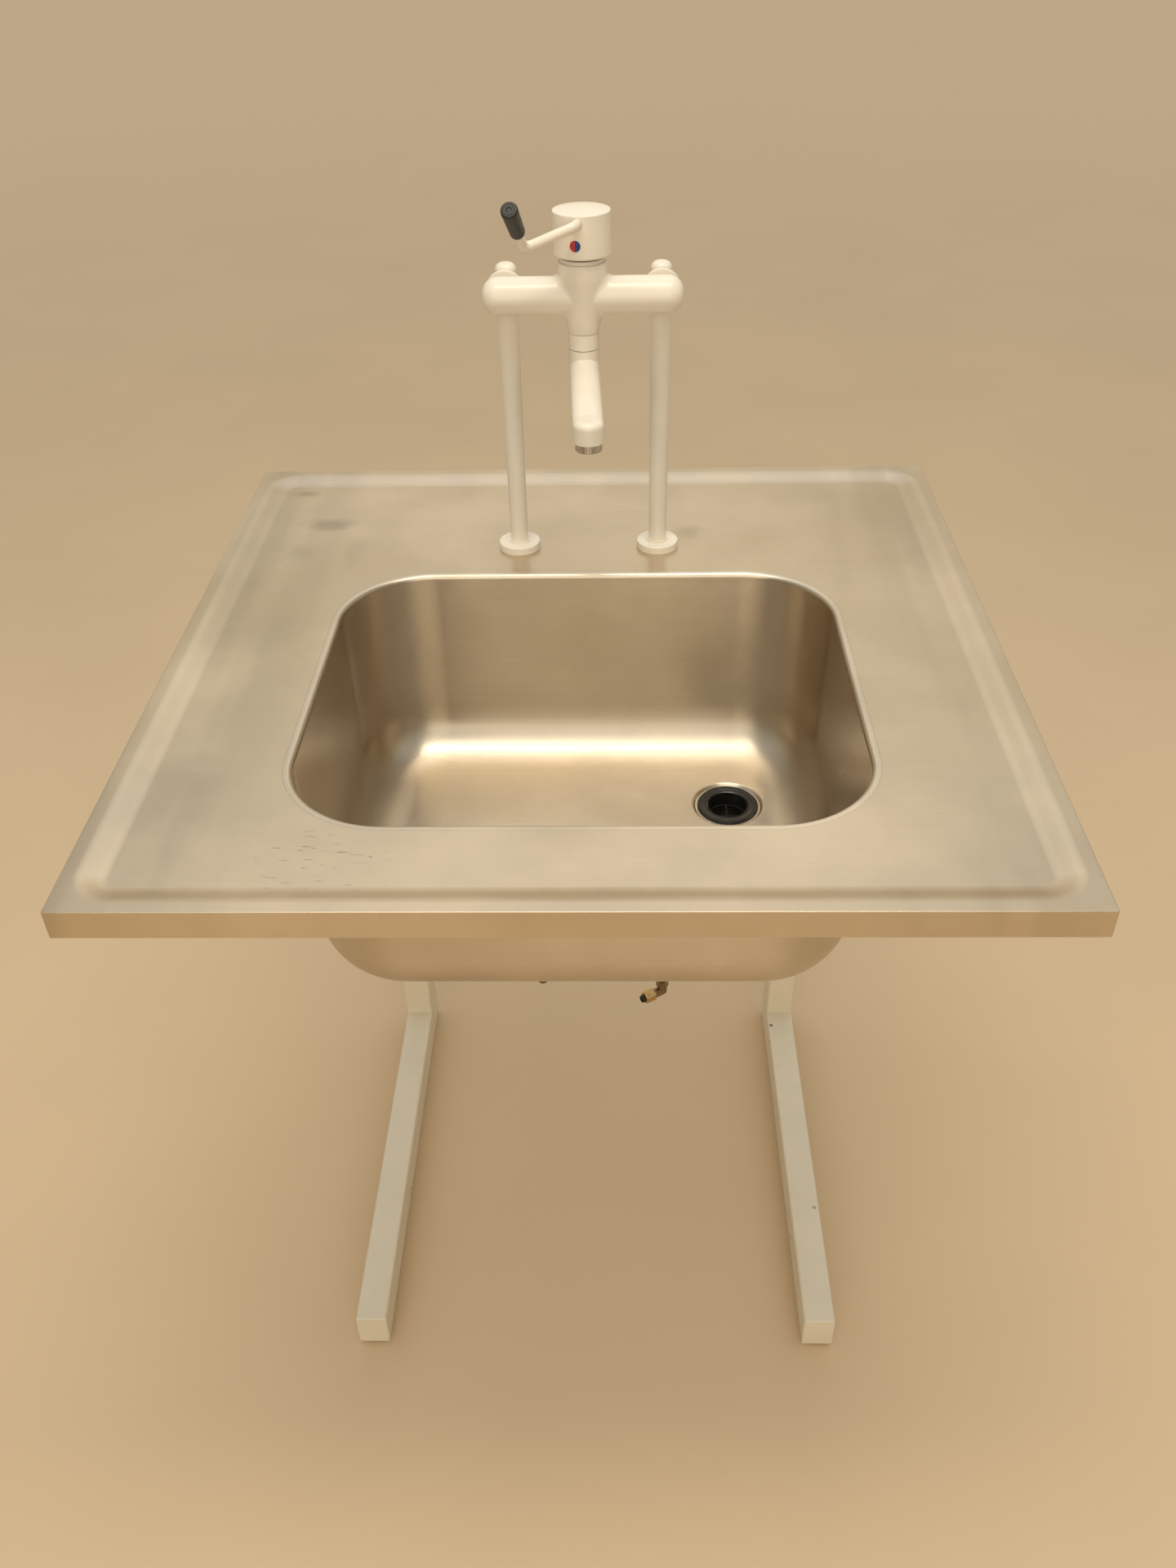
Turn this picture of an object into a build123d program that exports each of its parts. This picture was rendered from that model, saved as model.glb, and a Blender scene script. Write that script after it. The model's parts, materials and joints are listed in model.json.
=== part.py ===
from build123d import *
import math
import os

# Laboratory sink: a square stainless worktop with a welded-in bowl, a single-lever mixer
# on two pillars, and a pair of leg frames of rectangular tube.
# Millimetres. X is right, Y is away from the user, Z is up.
# The origin is on the floor, under the middle of the worktop.

# Worktop
worktop_width = 800.0
worktop_depth = 800.0
worktop_height = 900.0
edge_height = 26.0
sheet = 1.5
rim_flat = 15.0
rim_slope = 16.0
rim_drop = 6.0
recess_top_corner = 32.0
recess_floor_corner = 16.0
recess_edge_radius = 2.0
return_flange = 12.0

# Bowl
bowl_width = 500.0
bowl_length = 425.0
bowl_centre_y = -75.0
bowl_depth = 215.0
bowl_corner = 90.0
bowl_draft = 1.0
bowl_floor_radius = 55.0
bowl_sheet = 1.2
bowl_lip_radius = 5.0
bowl_lip_flat = 3.0
weld_gap = 0.15

# Backing board under the sheet
board_thickness = 17.0
board_side_gap = 1.0
board_bowl_gap = 8.0
board_corner_radius = 4.0

# Waste fitting in the bowl floor
waste_x = 151.0
waste_y = 15.0
waste_flange_radius = 33.0
waste_flange_height = 3.0
waste_rim_width = 1.4
waste_rim_height = 1.6
waste_land_width = 5.0
waste_groove_outer = 4.2
waste_groove_inner = 1.8
waste_groove_depth = 1.2
waste_lip_width = 1.2
waste_lip_drop = 0.6
waste_mouth_drop = 1.4
waste_bore_radius = 21.5
waste_wall = 2.5
waste_length = 68.0
waste_thread_length = 20.0
waste_tail_radius = 23.4
waste_dish_depth = 3.0
waste_dish_margin = 2.5
waste_seal_thickness = 2.5
waste_seal_inset = 1.0
waste_nut_radius = 32.0
waste_nut_height = 12.0
waste_nut_lugs = 6
waste_nut_lug_radius = 4.0
waste_nut_lug_proud = 0.5
waste_nut_collar_height = 3.5
waste_nut_collar_width = 3.0
waste_strainer_drop = 16.0
waste_strainer_thickness = 2.0
waste_strainer_ring = 2.0
waste_strainer_bar = 2.4
waste_fit = 0.15

# Pillars that carry the mixer
pillar_spacing = 152.0
pillar_y = 206.0
pillar_foot_radius = 9.4
pillar_top_radius = 10.6
pillar_bore_radius = 6.0
pillar_rise = 304.0
pillar_dome = 7.0
pillar_shank_radius = 9.0
pillar_shank_length = 52.0
pillar_flange_radius = 14.0
pillar_flange_height = 2.0
pillar_fit = 0.1
pillar_hole_gap = 1.0
rosette_radius = 22.6
rosette_height = 7.8
rosette_collar_radius = 11.6
rosette_collar_height = 2.0
rosette_edge = 1.4
rosette_fit = 0.15
pillar_washer_radius = 21.0
pillar_washer_thickness = 2.5
pillar_nut_flats = 30.0
pillar_nut_height = 9.0

# Mixer body and its unions
mixer_y = 166.0
arm_rise = 283.8
arm_radius = 17.7
arm_half_length = 96.5
arm_end_radius = 15.0
body_bottom_rise = 250.3
body_bottom_radius = 15.6
body_waist_radius = 17.0
body_waist_rise = 258.0
body_radius = 23.2
body_shoulder_rise = 305.0
body_top_rise = 316.2
body_edge = 1.2
arm_blend = 8.0
arm_bore_radius = 5.5
arm_bore_drop = 5.5
arm_bore_overrun = 1.5
inlet_radius = 9.6
inlet_nut_radius = 15.5
inlet_nut_edge = 1.5
inlet_washer_thickness = 2.0
inlet_washer_y = 189.5
union_fit = 0.15
union_gap = 0.3

# Cartridge
cartridge_radius = 17.4
cartridge_seat_rise = 289.0
cartridge_top_rise = 317.0
cartridge_fit = 0.1
port_radius = 3.2
port_offset = 8.0
outlet_offset = 10.5
cartridge_port_depth = 8.0
cartridge_shoulder_width = 1.2
cartridge_shoulder_height = 3.0
ring_radius = 21.2
ring_bore_radius = 13.0
ring_height = 3.6
ring_skirt_radius = 19.2
ring_skirt_height = 8.0
ring_edge = 0.6
ring_fit = 0.1
carrier_radius = 12.4
carrier_bottom_rise = 309.0
carrier_top_rise = 325.0
carrier_fit = 0.1
carrier_seat_gap = 0.2
stem_radius = 4.0
stem_bottom_rise = 311.0
stem_top_rise = 350.0
stem_edge = 0.5
pivot_rise = 320.0
pivot_pin_radius = 1.5
pivot_fit = 0.05
pivot_pin_inset = 0.8
slot_half_length = 8.0
slot_side_gap = 0.3

# Lever: a hollow cap on the spindle, a cranked rod and a grip
cap_radius = 27.4
cap_wall = 2.4
cap_bottom_rise = 322.0
cap_top_rise = 361.5
cap_dome = 2.0
cap_lower_edge = 2.3
cap_upper_edge = 1.2
cap_inner_edge = 3.0
hub_radius = 8.0
hub_bottom_rise = 331.5
hub_fit = 0.1
hub_top_gap = 0.5
rod_radius = 4.6
rod_root_depth = 6.0
rod_bend_radius = 8.5
rod_bend_one = (2.1, -37.0, 355.0)
rod_bend_two = (-42.1, -50.8, 337.9)
rod_end = (-39.2, -102.6, 383.7)
rod_end_cover = 8.0
grip_length = 44.0
grip_root_radius = 6.6
grip_end_radius = 7.8
grip_edge = 1.4
grip_dimple_radius = 2.6
grip_dimple_depth = 0.8
grip_fit = 0.1
grip_seat_gap = 0.3
mark_radius = 5.0
mark_rise = 335.5
mark_proud = 0.35
mark_depth = 1.6
mark_fit = 0.1
mark_edge = 0.3
mark_seat_gap = 0.4
lever_rest_turn = -12.0
grub_radius = 2.0
grub_length = 12.0
grub_tip_gap = 0.3
grub_socket_radius = 1.1
grub_socket_depth = 3.0

# Spout, its collar and the aerator
collar_radius = 15.1
collar_bottom_rise = 234.3
collar_gap = 0.5
collar_edge = 0.5
neck_radius = 11.0
neck_top_rise = 266.0
neck_fit = 0.05
neck_groove_radius = 9.6
neck_groove_height = 2.4
neck_groove_rises = (255.0, 260.0)
neck_ring_fit = 0.1
neck_ring_side_gap = 0.2
socket_top_rise = 268.0
spout_radius = 14.8
spout_elbow_rise = 216.0
spout_reach = 105.0
spout_head_radius = 14.9
spout_head_bottom_rise = 181.0
spout_head_top_rise = 198.0
spout_head_edge = 6.5
spout_head_crown = 4.0
spout_well_depth = 9.0
spout_tube_end_height = 16.0
spout_tube_end_wall = 3.0
spout_flattening = 0.6
spout_side_step = 0.1
spout_top_slope = 17.0
spout_bore_radius = 8.0
spout_rest_turn = 3.0
aerator_radius = 13.0
aerator_height = 8.4
aerator_inset = 6.0
aerator_bore_radius = 10.6
aerator_flutes = 36
aerator_flute_radius = 0.5
aerator_edge = 0.5
aerator_neck_step = 1.2
aerator_gap = 0.3
aerator_fit = 0.15
insert_height = 4.0
insert_recess = 1.2
insert_rib = 1.2
insert_cells = 5

# Supply tails and their compression fittings
tail_radius = 5.0
tail_bore_radius = 4.0
tail_overlap = 34.0
tail_fit = 0.15
tail_splay = 17.0
tail_bend_start = 790.0
tail_bend_radius = 400.0
elbow_body_radius = 6.6
elbow_height = 195.0
elbow_spigot = 9.0
elbow_branch = 14.0
elbow_turn = 32.0
nut_flats = 15.0
nut_length = 11.0
outlet_nut_length = 16.0
nut_chamfer = 0.8
nut_seat_gap = 0.2
olive_height = 0.9
olive_length = 2.4
stub_seat = 3.2
stub_proud = 4.8
coupling_height = 214.5
coupling_length = 9.0

# Leg frames
leg_centre_x = 277.5
tube_width = 38.0
tube_depth = 50.0
tube_wall = 2.0
tube_corner = 3.0
tube_inner_corner = 1.0
foot_front_y = -216.0
post_front_y = 295.0
top_arm_front_y = -240.0
glide_height = 3.5
glide_radius = 10.0
glide_stem_radius = 4.0
glide_stem_height = 9.0
glide_inset = 32.0
glide_edge = 1.0
glide_fit = 0.1
cap_plate = 3.0
cap_plate_edge = 1.0
cap_plug_depth = 12.0
cap_plug_fit = 0.15
cap_plug_wall = 2.0
cap_plug_corner = 1.5
rail_depth = 25.0
rail_height = 50.0
rail_bottom = 690.0
tab_length = 34.0
tab_width = 26.0
tab_thickness = 4.0
tab_corner = 6.0
tab_screw_radius = 2.2
tab_screw_head_radius = 5.0
tab_screw_head_height = 2.6
tab_screw_head_edge = 0.8
tab_screw_drive_radius = 2.0
tab_screw_drive_depth = 1.4
tab_screw_depth = 13.0
tab_screw_fit = 0.1
tab_screw_offset = 2.0
tab_screw_tip_room = 1.0
tab_positions = (-190.0, 60.0, 255.0)

# How far a cut runs past the face it opens, and how near an edge lies to where it is looked for
cut_over = 1.0
pick = 0.01

# Levels and places that follow from the sizes above
recess_level = worktop_height - rim_drop
board_top = recess_level - sheet
board_bottom = board_top - board_thickness
arm_level = recess_level + arm_rise
bowl_floor = recess_level - bowl_depth
post_back_y = post_front_y + tube_depth
foot_top = glide_height + tube_depth
arm_tube_bottom = board_bottom - tube_depth
waste_outer_radius = waste_bore_radius + waste_wall
waste_flange_level = bowl_floor - waste_dish_depth
waste_floor_under = waste_flange_level - bowl_sheet
pillar_foot_level = recess_level
sides = (-1, 1)
pillar_places = [(side * pillar_spacing / 2, pillar_y) for side in sides]
bowl_flange_margin = bowl_lip_radius + bowl_lip_flat


def level(rise):
    # Height above the floor of a point given above the recessed worktop surface
    return recess_level + rise


def disc(radius, height, x=0.0, y=0.0, z=0.0):
    return Pos(x, y, z) * Cylinder(radius, height, align=(Align.CENTER, Align.CENTER, Align.MIN))


def block(size_x, size_y, size_z, x=0.0, y=0.0, z=0.0):
    return Pos(x, y, z) * Box(size_x, size_y, size_z, align=(Align.CENTER, Align.CENTER, Align.MIN))


def rounded_outline(size_x, size_y, corner, x, y, z):
    return Pos(x, y, z) * RectangleRounded(size_x, size_y, corner)


def turned(points):
    # Solid of revolution about Z from radius and height pairs
    outline = make_face(Polyline(*[(r, 0, z) for r, z in points], close=True))
    return revolve(outline, Axis.Z, 360)


def edges_at(form, height):
    return form.edges().filter_by_position(Axis.Z, height - pick, height + pick)


def circles(form):
    # Circular edges, the lowest first
    return form.edges().filter_by(GeomType.CIRCLE).sort_by(Axis.Z)


def along_y(solid):
    # Turns a solid that stands on Z so that it points away from the user
    return Rot(-90, 0, 0) * solid


def hexagon(flats, length, chamfer):
    # Hexagon nut blank, its corners turned off at both ends
    corner = flats / math.sqrt(3)
    prism = extrude(RegularPolygon(corner, 6), length)
    low = corner - chamfer * 2
    envelope = turned((
        (0, 0),
        (low, 0),
        (corner, chamfer),
        (corner, length - chamfer),
        (low, length),
        (0, length),
    ))
    return prism & envelope


def tray_form(inset):
    # The worktop's outer skin, or its inner skin when inset by the sheet thickness
    slope_angle = math.atan2(rim_drop, rim_slope)
    slope_shift = inset * math.tan(slope_angle / 2)
    top = worktop_height - inset
    body = block(
        worktop_width - 2 * inset,
        worktop_depth - 2 * inset,
        edge_height - inset,
        z=worktop_height - edge_height,
    )
    upper_x = worktop_width - 2 * rim_flat + 2 * slope_shift
    upper_y = worktop_depth - 2 * rim_flat + 2 * slope_shift
    upper = rounded_outline(upper_x, upper_y, recess_top_corner + slope_shift, 0, 0, top)
    lower = rounded_outline(
        upper_x - 2 * rim_slope,
        upper_y - 2 * rim_slope,
        recess_floor_corner + slope_shift,
        0,
        0,
        recess_level - inset,
    )
    return body - loft([upper, lower], ruled=True)


def recess_edges(form, height):
    # Edges of the recess at one height, without the straight outer edges
    limit_x = worktop_width / 2 - 2 * sheet
    limit_y = worktop_depth / 2 - 2 * sheet
    found = edges_at(form, height)
    return ShapeList([e for e in found if abs(e.center().X) < limit_x and abs(e.center().Y) < limit_y])


def worktop():
    outer = tray_form(0)
    outer = fillet(recess_edges(outer, worktop_height), recess_edge_radius)
    outer = fillet(recess_edges(outer, recess_level), recess_edge_radius * 2)
    inner = tray_form(sheet)
    skin = outer - inner
    flange_outer = block(
        worktop_width - 2 * sheet,
        worktop_depth - 2 * sheet,
        sheet,
        z=worktop_height - edge_height,
    )
    flange_inner = block(
        worktop_width - 2 * (sheet + return_flange),
        worktop_depth - 2 * (sheet + return_flange),
        sheet,
        z=worktop_height - edge_height,
    )
    skin += flange_outer - flange_inner
    opening = bowl_flange_outline(weld_gap)
    skin -= extrude(opening, sheet * 3, both=True)
    for x, y in pillar_places:
        skin -= disc(pillar_shank_radius + pillar_hole_gap, sheet * 4, x, y, recess_level - sheet * 2)
    return skin


def bowl_flange_outline(margin):
    grow = 2 * (bowl_flange_margin + margin)
    return rounded_outline(
        bowl_width + grow,
        bowl_length + grow,
        bowl_corner + grow / 2,
        0,
        bowl_centre_y,
        recess_level,
    )


def bowl_form(grow, depth):
    # Tapered tub with a rolled floor edge, grown outwards by the sheet for its outside
    taper = depth * math.tan(math.radians(bowl_draft))
    top = rounded_outline(
        bowl_width + 2 * grow, bowl_length + 2 * grow, bowl_corner + grow, 0, bowl_centre_y, recess_level
    )
    low = rounded_outline(
        bowl_width + 2 * (grow - taper),
        bowl_length + 2 * (grow - taper),
        bowl_corner + grow - taper,
        0,
        bowl_centre_y,
        recess_level - depth,
    )
    tub = loft([top, low], ruled=True)
    return fillet(tub.faces().sort_by(Axis.Z)[0].edges(), bowl_floor_radius + grow)


def bowl():
    outside = bowl_form(bowl_sheet, bowl_depth + bowl_sheet)
    flange = extrude(bowl_flange_outline(0), -bowl_sheet)
    shell = outside + flange
    root = [e for e in edges_at(shell, recess_level - bowl_sheet) if not on_flange_outline(e)]
    shell = fillet(root, bowl_lip_radius - bowl_sheet)
    shell -= bowl_form(0, bowl_depth)
    lip = [e for e in edges_at(shell, recess_level) if not on_flange_outline(e)]
    shell = fillet(lip, bowl_lip_radius)
    dish_radius = waste_flange_radius + waste_dish_margin
    shell += turned((
        (0, bowl_floor),
        (dish_radius + waste_dish_depth + bowl_sheet, bowl_floor),
        (dish_radius + bowl_sheet, waste_floor_under),
        (0, waste_floor_under),
    )).moved(Location((waste_x, waste_y, 0)))
    shell -= turned((
        (0, bowl_floor + cut_over),
        (dish_radius + waste_dish_depth + cut_over, bowl_floor + cut_over),
        (dish_radius, waste_flange_level),
        (0, waste_flange_level),
    )).moved(Location((waste_x, waste_y, 0)))
    hole_depth = bowl_sheet + 2 * cut_over
    shell -= disc(waste_outer_radius + waste_fit, hole_depth, waste_x, waste_y, waste_floor_under - cut_over)
    return shell


def on_flange_outline(edge):
    # True for an edge on the outer outline of the bowl's flange
    corner = bowl_corner + bowl_flange_margin
    middle = edge @ 0.5
    past_x = abs(middle.X) - (bowl_width / 2 + bowl_flange_margin - corner)
    past_y = abs(middle.Y - bowl_centre_y) - (bowl_length / 2 + bowl_flange_margin - corner)
    return math.hypot(max(past_x, 0), max(past_y, 0)) > corner - bowl_lip_flat / 2


def backing_board():
    size_x = worktop_width - 2 * (sheet + board_side_gap)
    size_y = worktop_depth - 2 * (sheet + board_side_gap)
    board = extrude(rounded_outline(size_x, size_y, board_corner_radius, 0, 0, board_bottom), board_thickness)
    grow = 2 * (bowl_sheet + board_bowl_gap)
    hole = rounded_outline(
        bowl_width + grow, bowl_length + grow, bowl_corner + grow / 2, 0, bowl_centre_y, board_bottom
    )
    board -= extrude(hole, board_thickness)
    for x, y in pillar_places:
        board -= disc(pillar_shank_radius + pillar_hole_gap, board_thickness, x, y, board_bottom)
    pilot_depth = tab_screw_depth + tab_screw_tip_room
    for x, y in tab_screw_places():
        board -= disc(tab_screw_radius + tab_screw_fit, pilot_depth, x, y, board_bottom)
    return board


def waste_fitting():
    # Dished flange with a thin raised lip round its mouth, and the threaded tail below it
    top = waste_flange_level + waste_flange_height
    flange = turned((
        (waste_bore_radius, waste_flange_level),
        (waste_flange_radius, waste_flange_level),
        (waste_flange_radius, top - waste_rim_height),
        (waste_flange_radius - waste_rim_width, top),
        (waste_flange_radius - waste_land_width, top),
        (waste_bore_radius + waste_groove_outer, top - waste_groove_depth),
        (waste_bore_radius + waste_groove_inner, top - waste_groove_depth),
        (waste_bore_radius + waste_lip_width, top - waste_lip_drop),
        (waste_bore_radius, top - waste_mouth_drop),
    ))
    tail = turned((
        (waste_bore_radius, waste_flange_level),
        (waste_outer_radius, waste_flange_level),
        (waste_outer_radius, waste_flange_level - waste_thread_length),
        (waste_tail_radius, waste_flange_level - waste_thread_length),
        (waste_tail_radius, waste_flange_level - waste_length),
        (waste_bore_radius, waste_flange_level - waste_length),
    ))
    return Pos(waste_x, waste_y, 0) * (flange + tail)


def waste_strainer():
    # Cross bars deep in the waste that stop large pieces
    radius = waste_bore_radius - waste_fit
    ring = disc(radius, waste_strainer_thickness) - disc(radius - waste_strainer_ring, waste_strainer_thickness)
    bar = block(2 * radius - waste_strainer_ring, waste_strainer_bar, waste_strainer_thickness)
    cross = bar + Rot(0, 0, 90) * bar
    return Pos(waste_x, waste_y, waste_flange_level - waste_strainer_drop) * (ring + cross)


def waste_seal():
    seal = turned((
        (waste_outer_radius + waste_fit, 0),
        (waste_nut_radius - 2 * waste_seal_inset, 0),
        (waste_nut_radius - waste_seal_inset, -waste_seal_inset),
        (waste_nut_radius - waste_seal_inset, -waste_seal_thickness),
        (waste_outer_radius + waste_fit, -waste_seal_thickness),
    ))
    return Pos(waste_x, waste_y, waste_floor_under) * seal


def waste_back_nut():
    # Back nut with gripping lugs round its rim
    bottom = waste_floor_under - waste_seal_thickness - waste_nut_height
    collar_bottom = waste_nut_height - waste_nut_collar_height
    nut = disc(waste_nut_radius - waste_nut_collar_width, waste_nut_height)
    nut += disc(waste_nut_radius, waste_nut_collar_height, z=collar_bottom)
    lug_place = waste_nut_radius + waste_nut_lug_proud - waste_nut_lug_radius
    lug = disc(waste_nut_lug_radius, waste_nut_height, lug_place)
    nut += [Rot(0, 0, 360 / waste_nut_lugs * k) * lug for k in range(waste_nut_lugs)]
    nut -= disc(waste_outer_radius + waste_fit, waste_nut_height)
    return Pos(waste_x, waste_y, bottom) * nut


def pillar(x):
    # Slightly tapered tube with a domed top, a threaded shank below and a union boss in front
    top = level(pillar_rise)
    shank_bottom = pillar_foot_level - pillar_shank_length
    outline = [
        (0, 0, shank_bottom),
        (pillar_shank_radius, 0, shank_bottom),
        (pillar_shank_radius, 0, pillar_foot_level),
        (pillar_flange_radius, 0, pillar_foot_level),
        (pillar_flange_radius, 0, pillar_foot_level + pillar_flange_height),
        (pillar_foot_radius, 0, pillar_foot_level + pillar_flange_height),
        (pillar_top_radius, 0, top),
        (0, 0, top),
    ]
    column = revolve(make_face(Polyline(*outline, close=True)), Axis.Z, 360)
    column = fillet(column.edges().sort_by(Axis.Z)[-1], pillar_dome)
    boss_length = pillar_y - inlet_washer_y - inlet_washer_thickness
    column += Pos(0, 0, arm_level) * Rot(90, 0, 0) * disc(inlet_radius, boss_length)
    column -= disc(pillar_bore_radius, arm_level - pillar_foot_level, z=pillar_foot_level)
    column -= disc(tail_radius + tail_fit, pillar_shank_length + cut_over, z=shank_bottom)
    column -= Pos(0, 0, arm_level) * Sphere(pillar_bore_radius)
    column -= Pos(0, 0, arm_level) * Rot(90, 0, 0) * disc(pillar_bore_radius, boss_length)
    return Pos(x, pillar_y, 0) * column


def rosette(x):
    # Loose cover ring that hides the pillar's foot flange
    bore = pillar_foot_radius + rosette_fit
    pocket = pillar_flange_radius + rosette_fit
    roof = pillar_flange_height + rosette_fit
    top = rosette_height
    ring = turned((
        (pocket, 0),
        (rosette_radius, 0),
        (rosette_radius, top),
        (rosette_collar_radius, top),
        (rosette_collar_radius, top + rosette_collar_height),
        (bore, top + rosette_collar_height),
        (bore, roof),
        (pocket, roof),
    ))
    rims = [e for e in circles(ring) if e.radius > rosette_radius - pick]
    ring = fillet(rims[-1], rosette_edge)
    return Pos(x, pillar_y, recess_level) * ring


def pillar_washers():
    ring = disc(pillar_washer_radius, pillar_washer_thickness)
    ring -= disc(pillar_shank_radius + pillar_fit, pillar_washer_thickness)
    bottom = board_bottom - pillar_washer_thickness
    return Compound([Pos(x, y, bottom) * ring for x, y in pillar_places])


def pillar_lock_nuts():
    nut = hexagon(pillar_nut_flats, pillar_nut_height, nut_chamfer)
    nut -= disc(pillar_shank_radius + pillar_fit, pillar_nut_height)
    bottom = board_bottom - pillar_washer_thickness - pillar_nut_height
    return Compound([Pos(x, y, bottom) * nut for x, y in pillar_places])


def mixer_body():
    # Cast body: a waisted column crossed by two arms with rounded ends, blended where they meet
    profile = Polyline(
        (0, 0, body_bottom_rise),
        (body_bottom_radius, 0, body_bottom_rise),
        (body_waist_radius, 0, body_waist_rise),
        (body_radius, 0, body_shoulder_rise),
        (body_radius, 0, body_top_rise),
        (0, 0, body_top_rise),
        close=True,
    )
    column = revolve(make_face(profile), Axis.Z, 360)
    arms = Pos(0, 0, arm_rise) * Rot(0, 90, 0) * Cylinder(arm_radius, 2 * arm_half_length)
    arms = fillet(arms.edges().filter_by(GeomType.CIRCLE), arm_end_radius)
    cast = column + arms
    joints = [e for e in cast.edges() if e.geom_type not in (GeomType.CIRCLE, GeomType.LINE)]
    cast = fillet(joints, arm_blend)
    cast = fillet(edges_at(cast, body_top_rise), body_edge)
    for side in sides:
        x = side * pillar_spacing / 2
        spigot_length = inlet_washer_y - mixer_y
        cast += Pos(x, 0, arm_rise) * Rot(-90, 0, 0) * disc(inlet_radius, spigot_length)
        cast -= Pos(x, 0, arm_rise) * Rot(-90, 0, 0) * disc(pillar_bore_radius, spigot_length)
        low = arm_rise - arm_bore_drop
        bore_start = port_offset - port_radius - arm_bore_overrun
        bore = Rot(0, 90 * side, 0) * disc(arm_bore_radius, pillar_spacing / 2 - bore_start)
        cast -= Pos(side * bore_start, 0, low) * bore
        cast -= Pos(x, 0, arm_rise) * Sphere(pillar_bore_radius)
        cast -= disc(port_radius, cartridge_seat_rise - low, side * port_offset, 0, low)
    cast -= disc(cartridge_radius + cartridge_fit, body_top_rise - cartridge_seat_rise, z=cartridge_seat_rise)
    ring_bottom = body_top_rise - ring_skirt_height
    cast -= disc(ring_skirt_radius + cartridge_fit, ring_skirt_height, z=ring_bottom)
    cast -= disc(neck_radius + neck_fit, socket_top_rise - body_bottom_rise, z=body_bottom_rise)
    outlet_length = cartridge_seat_rise - socket_top_rise + 2 * cut_over
    cast -= disc(port_radius, outlet_length, 0, -outlet_offset, socket_top_rise - cut_over)
    return Pos(0, mixer_y, recess_level) * cast


def inlet_nut(x):
    # Round union nut that joins the mixer's inlet to the pillar
    start = mixer_y + arm_radius + union_gap
    end = pillar_y - pillar_top_radius - union_gap
    nut = disc(inlet_nut_radius, end - start)
    nut = fillet(nut.edges(), inlet_nut_edge)
    nut -= disc(inlet_radius + union_fit, end - start)
    return Pos(x, start, arm_level) * along_y(nut)


def inlet_washers():
    ring = disc(inlet_radius - union_fit, inlet_washer_thickness)
    ring = along_y(ring - disc(pillar_bore_radius, inlet_washer_thickness))
    return Compound([Pos(x, inlet_washer_y, arm_level) * ring for x, y in pillar_places])


def cartridge():
    # Ceramic cartridge body with its two inlet ports and one outlet port in the base
    height = cartridge_top_rise - cartridge_seat_rise
    can = disc(cartridge_radius, height)
    can -= disc(carrier_radius + carrier_fit, height, z=carrier_bottom_rise - cartridge_seat_rise)
    for side in sides:
        can -= disc(port_radius, cartridge_port_depth, side * port_offset)
    can -= disc(port_radius, cartridge_port_depth, 0, -outlet_offset)
    step = disc(cartridge_radius + cut_over, height) - disc(cartridge_radius - cartridge_shoulder_width, height)
    can -= Pos(0, 0, height - cartridge_shoulder_height) * step
    return Pos(0, mixer_y, level(cartridge_seat_rise)) * can


def cartridge_ring():
    # Screwed ring that holds the cartridge down, its rim showing in the gap under the cap
    skirt_bottom = body_top_rise - ring_skirt_height
    clear = cartridge_radius + cartridge_fit
    ring = turned((
        (clear, skirt_bottom),
        (ring_skirt_radius, skirt_bottom),
        (ring_skirt_radius, body_top_rise + ring_fit),
        (ring_radius, body_top_rise + ring_fit),
        (ring_radius, body_top_rise + ring_height),
        (ring_bore_radius, body_top_rise + ring_height),
        (ring_bore_radius, cartridge_top_rise + ring_fit),
        (clear, cartridge_top_rise + ring_fit),
    ))
    rims = [e for e in edges_at(ring, body_top_rise + ring_height) if e.radius > ring_radius - pick]
    ring = fillet(rims, ring_edge)
    return Pos(0, mixer_y, recess_level) * ring


def turn_about_mixer(solid, turn):
    # Places a solid drawn straight ahead about the mixer's axis, at its resting turn
    return Pos(0, mixer_y, recess_level) * Rot(0, 0, turn) * solid


def cartridge_carrier():
    # Turning part of the cartridge: slotted for the spindle and bored for its cross pin
    height = carrier_top_rise - carrier_bottom_rise - carrier_seat_gap
    body = disc(carrier_radius, height, z=carrier_bottom_rise + carrier_seat_gap)
    slot_width = 2 * (stem_radius + slot_side_gap)
    body -= block(slot_width, 2 * slot_half_length, height + cut_over, z=carrier_bottom_rise)
    body -= Pos(0, 0, pivot_rise) * Rot(0, 90, 0) * Cylinder(pivot_pin_radius + pivot_fit, 4 * carrier_radius)
    return turn_about_mixer(body, lever_rest_turn)


def lever_spindle():
    # Spindle with its cross pin, which rocks in the carrier
    stem = disc(stem_radius, stem_top_rise - stem_bottom_rise, z=stem_bottom_rise)
    stem = chamfer(stem.edges(), stem_edge)
    pin_length = 2 * (carrier_radius - pivot_pin_inset)
    stem += Pos(0, 0, pivot_rise) * Rot(0, 90, 0) * Cylinder(pivot_pin_radius, pin_length)
    return turn_about_mixer(stem, lever_rest_turn)


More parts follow.
